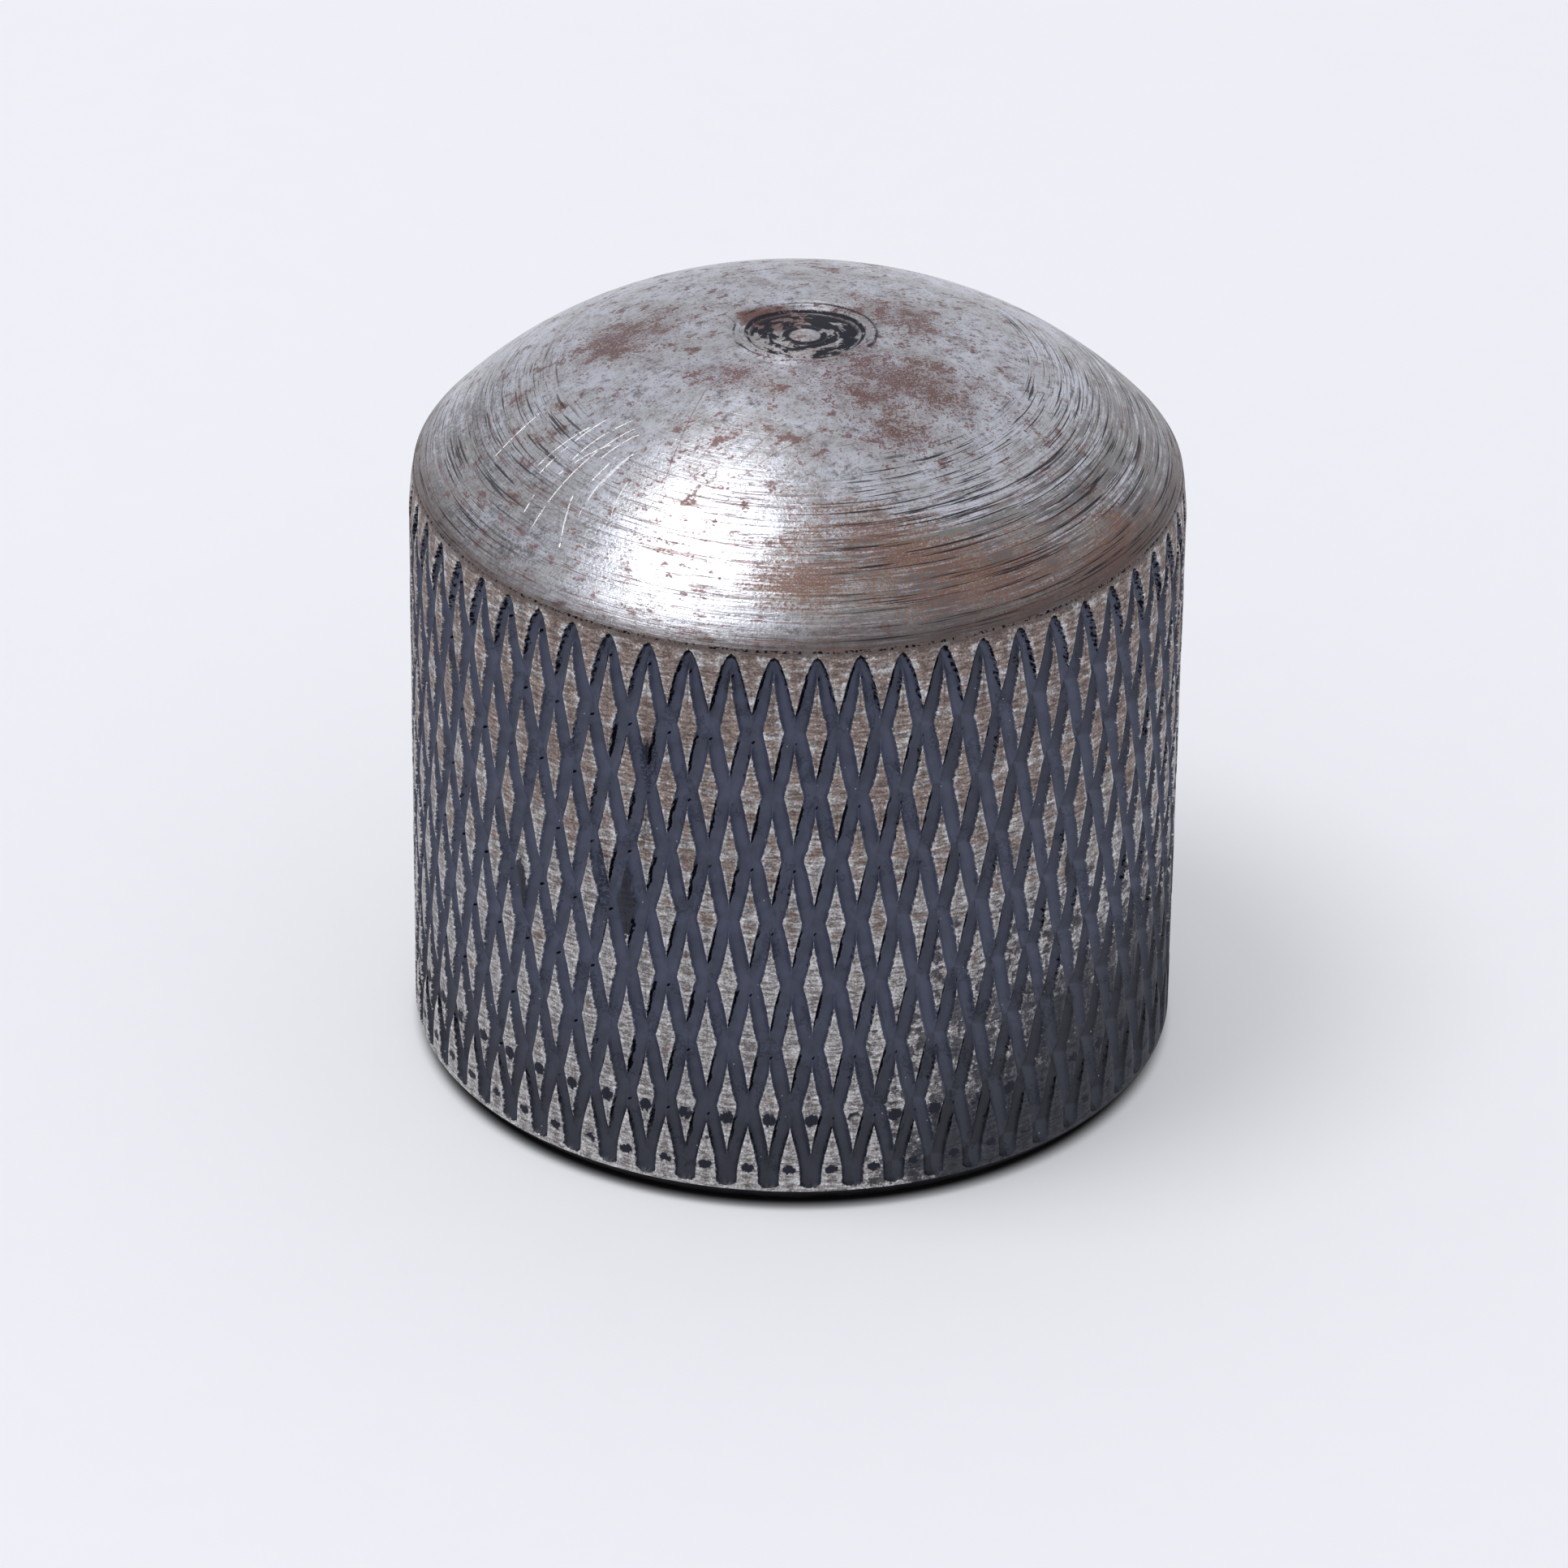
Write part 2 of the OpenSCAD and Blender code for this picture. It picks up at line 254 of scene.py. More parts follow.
def tear_shares(turn, step, x_sign, y_sign):
    """How torn each point of a land's edge is. The tool tore the edges that rise to the right:
    the lower ones in front and on the right, and the upper ones on the left."""
    # These shares also deepen the gaps, and the side's finish paints shade in them.
    degrees = np.degrees(turn)[:, None] % 360 - 360
    left = 1 - smoothstep(-124, -108, np.where(degrees < -300, degrees + 300, degrees))
    lower = (x_sign > 0) & (y_sign < 0)
    upper = (x_sign < 0) & (y_sign > 0)
    along = smoothstep(0.1, 0.45, OUTLINE[step]) * (1 - smoothstep(0.9, 1.0, OUTLINE[step]))
    torn_low = (1 - 0.8 * left) * rng.uniform(0.35, 1.1, (len(turn), 1))
    torn_high = (0.25 + 0.75 * left) * rng.uniform(0.2, 1.1, (len(turn), 1))
    return along * (lower * torn_low + upper * torn_high)


def land_faces(count):
    """Triangles of one land: a fan in its middle and bands between its rings."""
    ring = [list(1 + r * count + np.arange(count)) for r in range(len(SLOPE) + 2)]
    faces = [[0, ring[0][i], ring[0][(i + 1) % count]] for i in range(count)]
    for inner, outer in zip(ring, ring[1:]):
        faces += quads(outer + outer[:1], inner + inner[:1])
    return faces


def add_lands(shell):
    """Each land with the slopes round it, down to the middle lines of its four grooves."""
    step, x_sign, y_sign = np.array(LAND_ROUND).T
    n = len(LAND_ROUND)
    faces = land_faces(n)
    one = np.ones((STARTS, 1))
    for j in range(1, ROWS):
        # The land's outline, and the lattice's diamond round it.
        middle = np.arange(STARTS) + (0.0 if j % 2 else 0.5)
        half_w = LAND_HALF_W * rng.uniform(*HALF_W_PLAY, (STARTS, 1))
        up = (LAND_UP_LAST if j == ROWS - 1 else LAND_UP) * rng.uniform(*UP_PLAY, (STARTS, 1))
        down = LAND_DOWN * rng.uniform(*DOWN_PLAY, (STARTS, 1))
        width = np.repeat(half_w, n, 1) * (1 + rng.normal(0, POINT_PLAY, (STARTS, n)))
        x = width * (1 - OUTLINE[step]) ** LAND_NEEDLE * x_sign
        y = np.where(y_sign > 0, up, down) * OUTLINE[step] * y_sign
        torn = tear_shares(middle * PITCH_A, step, x_sign, y_sign)
        bound_x = 0.5 * (1 - BOUNDARY[step]) * x_sign
        bound_y = BOUNDARY[step] * y_sign
        drop = ridge_drop(y)
        across = np.hypot((bound_x - x) * PITCH, (bound_y - y) * ROW_H)

        # Rings outward, each as x, y, depth and distance from the edge.
        rows = [(0 * one, 0 * one, 0 * one, -0.2 * one)]
        inner_gap = np.minimum(0.03, 0.3 * np.abs(x) * PITCH)
        rows.append((x * 0.86, y * 0.95, ridge_drop(y * 0.95), -inner_gap))
        for wide, share, deep, tear in SLOPE:
            t = np.minimum(wide / across, share)
            wall = drop + deep * (1 - drop / GROOVE_DEPTH) + tear * torn
            ridge = drop + (GROOVE_DEPTH - drop) * t**1.5
            depth = wall + (ridge - wall) * RIDGE_SHARE[step]
            rows.append((x + (bound_x - x) * t, y + (bound_y - y) * t, depth, t * across))
        floor = groove_floor(middle[:, None] + bound_x, j + bound_y)
        rows.append((bound_x + 0 * x, bound_y + 0 * x, floor, across))
        du, dv, depth, mark = (np.concatenate(part, 1) for part in zip(*rows))
        points = on_side(middle[:, None] + du, j + dv, depth)
        tears = np.concatenate([0 * one] + [torn] * (len(rows) - 1), 1)
        shell.add(points, faces, SIDE, np.stack([mark, tears], -1), np.stack([du, dv], -1))


def groove_floor(u, v):
    """Depth of the grooves along their middle lines, which wanders a little."""
    turn = u * PITCH_A
    wander = np.sin(7 * turn + 1.9 * v) + np.sin(11 * turn - 2.3 * v + 1.0)
    return GROOVE_DEPTH + 0.004 * wander


# ---- The ends of the knurl, with the plain band between the grooves ----
# Outlines from the tip of a groove's mouth to the band's own tip, in u and in rows outward.
HEAD_TIP, HEAD_LOW = 0.147, -0.747
HEAD_U = 0.5 * np.sin(np.radians(10 * np.arange(10)))
HEAD_OUTLINE = np.stack([HEAD_U, HEAD_TIP - (HEAD_TIP - HEAD_LOW) * (2 * HEAD_U) ** 1.85], -1)
FOOT_OUTLINE = np.array([
    [0.0, 0.3], [0.14, 0.296], [0.25, 0.25], [0.256, 0.11], [0.27, -0.03],
    [0.305, -0.17], [0.35, -0.3], [0.398, -0.42], [0.443, -0.53], [0.48, -0.62],
    [0.5, -0.68],
])


def mirrored(half):
    """A cell's whole row of points, from the half at the left of its middle."""
    return np.concatenate([half, [[1 - x, y] for x, y in half[-2::-1]]])


def end_bound(outline):
    """The middle lines of the grooves round one end cell, point for point with its outline."""
    tip = outline[0][1]
    extra = len(outline) - len(BOUNDARY)
    stem = [[0.0, 0.96 * tip * (1 - i / extra)] for i in range(extra)]
    return mirrored(np.array(stem + [[0.5 * b, -b] for b in BOUNDARY]))


def end_rows(out, bound, rim):
    """The rows of points of one end cell, each as places, depths and distances from the
    outline: rim, middle line, land, outline with its slopes, and the grooves' middle lines."""
    n, m = len(out), len(out) // 2
    tip, low = out[0][1], out[m][1]
    inward = smoothstep(0, 0.12, np.minimum(out[:, 0], 1 - out[:, 0]))
    inset = out + np.stack([inward * (0.5 - out[:, 0]) * 0.12,
                            0.012 * smoothstep(0.6, 1, out[:, 1] / tip)], -1)
    inset[m, 1] += 0.03
    centre = np.stack([np.full(m, 0.5), inset[:m, 1]], -1)
    share = np.zeros(n)
    for away, part in ((0, 1.0), (1, 0.6), (2, 0.2)):
        share[[m - away, m + away]] = part
    fade = np.clip((tip - bound[:, 1]) * ROW_H / END_FADE, 0, 1) ** 0.6
    across = np.maximum(np.hypot(*((bound - out) * (PITCH, ROW_H)).T), 1e-6)

    def sink(y):
        return ridge_drop(np.clip(-y + 0.02, 0, None) * 0.75 / -low)

    drop = sink(out[:, 1])
    rows = [(rim, 0 * rim[:, 0], 0 * rim[:, 0] - 0.2),
            (centre, sink(centre[:, 1]), 0 * centre[:, 0] - 0.1),
            (inset, sink(inset[:, 1]) * (1 - 0.4 * (share == 1)), np.full(n, -0.03))]
    for wide, part, deep, _ in SLOPE:
        t = np.minimum(wide / across, part)
        wall = drop + deep * (1 - drop / GROOVE_DEPTH) * fade
        ridge = drop + (GROOVE_DEPTH - drop) * t**1.5
        rows.append((out + (bound - out) * t[:, None], wall + (ridge - wall) * share, t * across))
    rows.append((bound, GROOVE_DEPTH * fade, across))
    return rows


def end_faces(index, rim_at):
    """Triangles between the rows of one end cell, from the numbers of their points."""
    rim, centre, inset = index[:3]
    m = len(inset) // 2
    faces = stitch([inset[0], centre[0], inset[-1]], rim, [0, 0.5, 1], rim_at)
    for i in range(m - 1):
        left, right, mid = inset[i:i + 2], inset[::-1][i:i + 2], centre[i:i + 2]
        faces += quads([left[1], mid[1], right[1]], [left[0], mid[0], right[0]])
    faces += [[inset[m], centre[-1], inset[m - 1]], [inset[m], inset[m + 1], centre[-1]]]
    for inner, outer in zip(index[2:], index[3:]):
        faces += quads(outer, inner)
    return faces


def add_end(shell, outward, row, outline, rim_z):
    """The plain band at one end of the knurl, one cell for each pair of groove ends.
    outward is 1 at the head and -1 at the foot."""
    out, bound = mirrored(outline), end_bound(outline)
    rim_at = np.arange(COLUMNS + 1) / COLUMNS
    rim_v = (rim_z - FOOT_Z) / ROW_H
    rim = np.stack([rim_at, np.full(COLUMNS + 1, (rim_v - row) * outward)], -1)
    rows = end_rows(out, bound, rim)
    starts = np.cumsum([0] + [len(r[0]) for r in rows])
    faces = end_faces([list(range(a, b)) for a, b in zip(starts, starts[1:])], rim_at)
    uv, depth, mark = (np.concatenate(part) for part in zip(*rows))

    # The mouths end unevenly, and the rim stays level.
    tips = rng.uniform(-TIP_PLAY, TIP_PLAY, STARTS)[:, None]
    tip_share = np.clip(uv[:, 1] / outline[0][1], 0, 1)
    lift = (tips * (1 - uv[:, 0]) + np.roll(tips, -1) * uv[:, 0]) * tip_share
    lift[:, :len(rim)] = 0
    k = np.arange(STARTS)[:, None]
    u, v = k + uv[:, 0], row + outward * (uv[:, 1] + lift)
    on_line = (np.arange(len(uv)) >= starts[-2]) & (uv[:, 1] < 1e-9)
    floor = np.where(on_line, groove_floor(u, v), depth)
    tears = np.where(mark < 0, 0, 0.3) + 0 * k
    shell.add(on_side(u, v, floor), faces, SIDE, np.stack([mark + 0 * k, tears], -1),
              np.stack([uv[:, 0] - 0.5, outward * uv[:, 1]], -1), up=outward > 0)


# ---- The round parts ----
def turns(count):
    return np.arange(count) * 2 * math.pi / count


def circle(r, z, count):
    return np.stack([r * np.cos(turns(count)), r * np.sin(turns(count)), np.full(count, z)], -1)


def add_rings(shell, rings, columns, surface, first_columns=None, up=True):
    """Closed rings of points, each (radius, height), from the side inward over the dome, or
    under the base with up=False. The first ring may have its own number of columns."""
    counts = [first_columns or columns] + [columns] * (len(rings) - 1)
    points, index, total = [], [], 0
    for (r, z), n in zip(rings, counts):
        points.append(circle(r, z, n))
        index.append(list(range(total, total + n)) + [total])
        total += n
    faces = []
    for a, b in zip(index, index[1:]):
        share = [np.arange(len(x)) / (len(x) - 1) for x in (a, b)]
        faces += quads(a, b) if len(a) == len(b) else stitch(a, b, *share)
    shell.add(np.concatenate(points)[None], faces, surface, up=up)


def wander_off(shell):
    """Moves the middle of the dome, the last part added, off the axis with its dish."""
    points = shell.points[-1]
    share = 1 - smoothstep(*OFF_FADE, np.hypot(points[:, 0], points[:, 1]))
    points[:, :2] += share[:, None] * DISH_OFF


def add_disc(shell, r, z, columns, surface, up=True):
    """Closes a small hole at the axis with a fan."""
    points = np.concatenate([[[0, 0, z]], circle(r, z, columns)])
    faces = [[0, 1 + i, 1 + (i + 1) % columns] for i in range(columns)]
    shell.add(points[None], faces, surface, up=up)


def crown_profile(r):
    """Height of the middle of the dome, with its dish, the pip in it and the grooves round it."""
    z = dome_z(np.asarray(r, float))
    z = z - DISH_DEPTH * (1 - smoothstep(DISH_R - 0.3, DISH_R + 0.02, r))
    z = z + PIP_H * (1 - smoothstep(PIP_R - 0.07, PIP_R + 0.05, r))
    for place, width, depth in DISH_RINGS:
        z = z - depth * np.exp(-(((r - place) / width) ** 2))
    return z


def add_dome(shell):
    """The top of the side, its eased edge, and the dome with its dish."""
    edge = [(side_r(HEAD_RIM_Z), HEAD_RIM_Z), (side_r(SIDE_H - 0.02), SIDE_H - 0.02),
            (EDGE_R - 0.004, SIDE_H - 0.008), (EDGE_R - 0.02, SIDE_H + 0.014)]
    radii = np.concatenate([np.linspace(EDGE_R - 0.05, 8.4, 4), np.linspace(8.1, 4.2, 14)])
    dome = list(zip(radii, dome_z(radii)))
    add_rings(shell, edge, ROUND, SIDE)
    add_rings(shell, edge[-1:] + dome, ROUND, DOME)
    crown = np.concatenate([np.linspace(3.8, 2.2, 5), np.linspace(1.95, 0.06, 36)])
    crown = list(zip(crown, crown_profile(crown)))
    add_rings(shell, dome[-1:] + crown, INNER, DOME, first_columns=ROUND)
    wander_off(shell)
    add_disc(shell, *crown[-1], INNER, DOME)
    wander_off(shell)


def add_base(shell):
    """The foot of the side, the chamfer, the base and the bore, seen from below."""
    chamfer = [(BODY_R, FOOT_RIM_Z), (BODY_R - 0.008, BASE_CHAMFER - 0.015),
               (BODY_R - 0.035, BASE_CHAMFER - 0.05),
               (BODY_R - BASE_CHAMFER + 0.03, 0.035), (BODY_R - BASE_CHAMFER, 0.008),
               (BODY_R - BASE_CHAMFER - 0.03, 0.0)]
    mouth = BORE_R + MOUTH_CHAMFER
    flat = [(r, 0.0) for r in np.linspace(BODY_R - BASE_CHAMFER - 0.5, mouth + 0.03, 8)]
    wall = [(mouth, 0.01), (BORE_R + 0.02, MOUTH_CHAMFER - 0.02), (BORE_R, MOUTH_CHAMFER + 0.03)]
    wall += [(BORE_R, z) for z in np.linspace(1.2, BORE_DEPTH - 0.02, 10)]
    point_h = BORE_R / math.tan(math.radians(DRILL_ANGLE / 2))
    cone = [(BORE_R * (1 - t), BORE_DEPTH + point_h * t) for t in (0.01, 0.3, 0.6, 0.9, 0.98)]
    add_rings(shell, chamfer, ROUND, BASE, up=False)
    add_rings(shell, chamfer[-1:] + flat, INNER, BASE, first_columns=ROUND, up=False)
    add_rings(shell, flat[-1:] + wall + cone, INNER, BORE, up=False)
    add_disc(shell, *cone[-1], INNER, BORE, up=False)


def body_shell():
    shell = Shell()
    add_lands(shell)
    add_end(shell, 1, ROWS, HEAD_OUTLINE, HEAD_RIM_Z)
    add_end(shell, -1, 0, FOOT_OUTLINE, FOOT_RIM_Z)
    add_dome(shell)
    add_base(shell)
    return shell


# ---- The grub screw and its threaded hole ----
THREAD_AROUND = 48  # points round the thread
THREAD_RINGS = 8  # rings in each pitch of it
THREAD_SLOPE = 2.6  # how steep its flanks are, in depths per pitch
THREAD_CREST = 0.25  # how much of that slope its flat crests take
HOLE_FROM, HOLE_L = -1.5, 7.5  # from the screw's point, in mm


def thread_mesh(name, radius, length, z_from, cup, materials, surface):
    """A closed cylinder along Y with a helical thread, its crests at the given radius, from
    z_from past the screw's point. cup is how hollow its point is, and its ends' chamfer."""
    steps = int(round(length / THREAD_PITCH * THREAD_RINGS))
    points, faces = [], []
    for s in range(steps + 1):
        z = length * s / steps
        phase = ((z_from + z) / THREAD_PITCH - turns(THREAD_AROUND) / (2 * math.pi)) % 1.0
        flank = np.clip(np.abs(phase - 0.5) * THREAD_SLOPE - THREAD_CREST, 0, 1)
        r = radius - THREAD_DEPTH * flank
        if cup:
            r = np.minimum(r, radius - cup + min(z, length - z))
        points.append(circle(r, z, THREAD_AROUND))
    points = np.concatenate(points + [np.array([[0, 0, cup], [0, 0, length]])])
    for s in range(steps):
        a = [s * THREAD_AROUND + i for i in range(THREAD_AROUND)]
        b = [i + THREAD_AROUND for i in a]
        faces += quads(a + a[:1], b + b[:1])
    first, last = len(points) - 2, len(points) - 1
    top = steps * THREAD_AROUND
    pairs = [(i, (i + 1) % THREAD_AROUND) for i in range(THREAD_AROUND)]
    faces += [[first, b, a] for a, b in pairs]
    faces += [[last, top + a, top + b] for a, b in pairs]
    shell = Shell()
    shell.add(points[None], faces, surface)
    piece = make_piece(name, shell, materials)
    moved = Matrix.Translation((0, (BORE_R + SCREW_BACK + z_from) * MM, SCREW_Z * MM))
    piece.data.transform(moved @ Matrix.Rotation(-math.pi / 2, 4, "X"))
    return piece


def cut(piece, cutter):
    """Cuts one closed mesh out of another and removes the cutter."""
    change = piece.modifiers.new("cut", "BOOLEAN")
    change.operation, change.object, change.solver = "DIFFERENCE", cutter, "MANIFOLD"
    shaped = bpy.data.meshes.new_from_object(piece.evaluated_get(
        bpy.context.evaluated_depsgraph_get()))
    piece.modifiers.clear()
    piece.data = shaped
    bpy.data.objects.remove(cutter)


def box_mesh(name, low, high, materials):
    """A closed box, as a cutter."""
    corners = list(itertools.product(*zip(low, high)))
    sides = [(0, 1, 3, 2), (4, 6, 7, 5), (0, 4, 5, 1), (2, 3, 7, 6), (0, 2, 6, 4), (1, 5, 7, 3)]
    faces = [t for a, b, c, d in sides for t in ((a, b, c), (a, c, d))]
    shell = Shell()
    shell.add(np.array(corners, float)[None], faces, 0)
    return make_piece(name, shell, materials)


# ---- Materials ----
def arithmetic(operation, swapped=False):
    """A Field's own sum, difference, product or quotient."""
    def work(self, other):
        return calc(operation, *((other, self) if swapped else (self, other)))
    return work


class Field:
    """A value that varies over a surface: one socket of a material's nodes."""

    def __init__(self, socket):
        self.socket = socket
        self.tree = socket.id_data

    __add__ = __radd__ = arithmetic("ADD")
    __mul__ = __rmul__ = arithmetic("MULTIPLY")
    __sub__, __rsub__ = arithmetic("SUBTRACT"), arithmetic("SUBTRACT", swapped=True)
    __truediv__ = arithmetic("DIVIDE")

    def __abs__(self):
        return calc("ABSOLUTE", self)


def feed(socket, value):
    """Links a field to a socket, or sets the socket to a number or colour."""
    if isinstance(value, Field):
        value.tree.links.new(value.socket, socket)
    elif socket.type == "RGBA":
        socket.default_value = (*value, 1)
    else:
        socket.default_value = value


def output(kind, which, inputs, tree=None, **settings):
    """An output of a new node, in the given tree or that of a field it takes in."""
    tree = tree or next(f.tree for f in inputs.values() if isinstance(f, Field))
    node = tree.nodes.new("ShaderNode" + kind)
    for name, value in settings.items():
        setattr(node, name, value)
    for key, value in inputs.items():
        feed(node.inputs[key], value)
    return Field(node.outputs[which])


def calc(operation, *values):
    """One step of arithmetic on fields and numbers."""
    return output("Math", 0, dict(enumerate(values)), operation=operation)


def reach(x, y):
    """Distance from the origin of x and y."""
    return calc("SQRT", x * x + y * y)


def smooth(x, low, high):
    """0 below low, 1 above high, and a soft step between."""
    inputs = {"Value": x, "From Min": low, "From Max": high}
    return output("MapRange", 0, inputs, interpolation_type="SMOOTHSTEP")


def near(x, centre, half, soft):
    """1 within half of the centre, fading out over soft more."""
    return 1 - smooth(abs(x - centre), half, half + soft)


def at(x, y, z):
    """A position, from three values."""
    return output("CombineXYZ", 0, {0: x, 1: y, 2: z})


def split(vector):
    """The three values of a position."""
    return [output("SeparateXYZ", axis, {0: vector}) for axis in range(3)]


def noise(where, scale, detail=2.0, rough=0.5):
    """Soft noise around 0.5, scale in waves per mm."""
    inputs = {"Vector": where, "Scale": scale, "Detail": detail, "Roughness": rough}
    return output("TexNoise", 0, inputs)


def dots(where, scale, size):
    """Round dots scattered on a jittered grid, size in cells."""
    distance = output("TexVoronoi", "Distance", {"Vector": where, "Scale": scale})
    return 1 - smooth(distance, size * 0.6, size)


def is_colour(value):
    return isinstance(value, tuple) or isinstance(value, Field) and value.socket.type == "RGBA"


def blend(share, first, second):
    """From the first colour or value to the second."""
    if is_colour(first) or is_colour(second):
        return output("Mix", 2, {0: share, 6: first, 7: second}, data_type="RGBA")
    return output("Mix", 0, {0: share, 2: first, 3: second})


def blot(x, y, middle, size, turn=0.0):
    """A soft oval patch, 1 in its middle, 0 at its rim and negative beyond."""
    c, s = math.cos(math.radians(turn)), math.sin(math.radians(turn))
    dx, dy = x - middle[0], y - middle[1]
    along, across = (dx * c + dy * s) / size[0], (dy * c - dx * s) / size[1]
    return 1 - reach(along, across)


def stroke(x, y, start, end, bow, half, soft):
    """A thin mark from start to end that bows to its right by bow in its middle."""
    length = math.dist(start, end)
    ax, ay = (end[0] - start[0]) / length, (end[1] - start[1]) / length
    dx, dy = x - start[0], y - start[1]
    share = (dx * ax + dy * ay) / length
    across = dx * ay - dy * ax - share * (1 - share) * (4 * bow)
    return near(across, 0, half, soft) * near(share, 0.5, 0.4, 0.1)


def most(*values):
    """The greatest of some values at each point."""
    result = values[0]
    for value in values[1:]:
        result = calc("MAXIMUM", result, value)
    return result


class Finish:
    """One material: its position in mm, its maps, and its Principled shader."""

    def __init__(self, name):
        self.material = bpy.data.materials.new(name)
        self.material.use_nodes = True
        self.tree = self.material.node_tree
        self.shader = self.tree.nodes["Principled BSDF"]
        position = output("TexCoord", "Object", {}, self.tree)
        self.x, self.y, self.z = (value / MM for value in split(position))
        self.where = at(self.x, self.y, self.z)

    def map(self, name):
        """The two values of a UV map."""
        return split(output("UVMap", 0, {}, self.tree, uv_map=name))[:2]

    def set(self, **values):
        """Feeds the shader's sockets, their names written with _ for a space."""
        for name, value in values.items():
            feed(self.shader.inputs[name.replace("_", " ")], value)

    def bump(self, height, depth_mm):
        """Fine relief: height runs from 0 to 1 over depth_mm."""
        self.set(Normal=output("Bump", 0, {"Distance": depth_mm * MM, "Height": height}))

    def brushed(self, share):
        """Gloss drawn out along the radius, as on a surface turned about Z."""
        tangent = output("Tangent", 0, {}, self.tree, direction_type="RADIAL", axis="Z")
        self.set(Anisotropic=share, Anisotropic_Rotation=0.25, Tangent=tangent)


# ---- Colours of the knob, and the places of its marks ----
LAND_DARK, LAND_BRIGHT = (0.14, 0.12, 0.115), (0.6, 0.585, 0.58)
LAND_GLINT = (0.95, 0.95, 0.97)
RUST_DARK, RUST_LIGHT = (0.09, 0.055, 0.045), (0.3, 0.2, 0.155)
DIRT = (0.02, 0.022, 0.036)
GROOVE_DARK, GROOVE_LIGHT = (0.042, 0.048, 0.085), (0.062, 0.071, 0.12)
# Painted light on grooves and a painted highlight on the lands' edges, on the right side.
GROOVE_PAINTED_LIGHT, EDGE_PAINTED_HIGHLIGHT = (0.105, 0.12, 0.175), (0.2, 0.22, 0.3)
SPECK = (0.4, 0.42, 0.48)
BLACK = (0.004, 0.004, 0.006)
DOME_DARK, DOME_BRIGHT = (0.2, 0.19, 0.195), (0.75, 0.765, 0.84)
DOME_PURPLE, DOME_OLIVE = (0.21, 0.155, 0.155), (0.5, 0.49, 0.46)
DISH_BLACK = (0.012, 0.013, 0.022)
DISH_TAN = (0.36, 0.31, 0.295)
RUST_RED, RUST_BROWN = (0.095, 0.024, 0.024), (0.205, 0.092, 0.074)
RUST_ORANGE = (0.23, 0.118, 0.066)
RIM_BROWN = (0.088, 0.06, 0.052)
# Near white for the scratches: a painted highlight on real scratches.
SCRATCH = (0.93, 0.93, 0.95)
SCREW_DARK, SCREW_BRIGHT = (0.07, 0.07, 0.075), (0.32, 0.32, 0.34)
# Near black for the base and its chamfer: painted shade beneath the foot.
BASE_PAINTED_SHADE_DARK, BASE_PAINTED_SHADE_LIGHT = (0.004, 0.004, 0.005), (0.016, 0.016, 0.019)
BORE_DARK, BORE_LIGHT = (0.06, 0.058, 0.058), (0.2, 0.19, 0.19)

# Spots low on the knurl, in each pitch of it: (u, height in mm) and sizes in the same.
SPOTS = [((0, 2.5), (0.19, 0.2)), ((0, 1.13), (0.18, 0.13))]
# Lands whose grooves' oxide runs over them: (azimuth in degrees, row) and sizes in the same.
FILLED = [((-134, 3.66), (1.6, 0.5)), ((-115, 4.1), (2.2, 0.75)), ((-45, 4.06), (1.6, 0.5)),
          ((-111.7, 6.2), (0.9, 0.5))]
# Places where grit lies in the grooves, in the same.
GRITTY = [((-111.7, 6.25), (1.7, 0.55)), ((-112.0, 5.2), (1.2, 0.5)), ((-119, 4.4), (1.4, 0.9))]
# The dome's right side, seen from the front: its middle, half width and fade, in degrees.
DOME_RIGHT = (-25, 35, 40)
# A brown stain in the dish: the middle and sizes in mm.
DISH_STAIN = ((-0.55, 0.7), (1.15, 0.75))
# Patches of rust on the dome: middle and sizes in mm, and turn in degrees.
DOME_RUST = [
    ((2.1, -2.1), (3.3, 1.7), -14), ((2.3, -4.0), (1.3, 0.9), 0), ((-4.3, 0.3), (1.9, 1.3), 25),
    ((2.4, 0.9), (1.8, 1.1), -30), ((-0.9, 0.85), (0.8, 0.45), 20), ((7.6, -4.2), (1.1, 0.9), 0),
    ((-1.6, -2.0), (1.5, 0.7), -20),
]
# Streaks of rust near the rim: (azimuth / 8, radius) and sizes in the same.
RIM_RUST = [
    ((-8.9, 7.4), (2.4, 0.9), 25), ((-7.6, 8.2), (2.9, 0.8), 8), ((-11.0, 7.9), (1.2, 0.6), 0),
    ((-4.2, 8.8), (1.8, 0.5), 0),
]
# Marks across the dome: from, to and bow, in mm. The first are bright, the others dark.
SCRATCHES = [
    ((-3.65, -3.5), (-6.2, -5.3), 0.25), ((-3.75, -4.3), (-5.1, -5.6), 0.15),
    ((-4.2, -4.25), (-4.85, -4.8), 0.0), ((-3.9, -4.4), (-4.8, -5.1), 0.04),
    ((-5.2, -4.9), (-5.5, -6.1), 0.03), ((-4.4, -2.95), (-6.1, -3.95), 0.06),
    ((-4.8, -3.05), (-6.1, -3.65), 0.06), ((-4.3, -3.85), (-5.7, -4.25), 0.08),
    ((-6.0, -1.8), (-7.2, -2.65), 0.02), ((-3.7, -3.25), (-5.3, -3.95), 0.12),
    ((-3.6, -3.75), (-4.6, -4.2), 0.05), ((-4.05, -4.5), (-4.6, -4.95), 0.0),
    ((-6.1, -4.4), (-6.35, -4.75), 0.0), ((-3.9, -5.05), (-4.3, -5.8), 0.04),
]
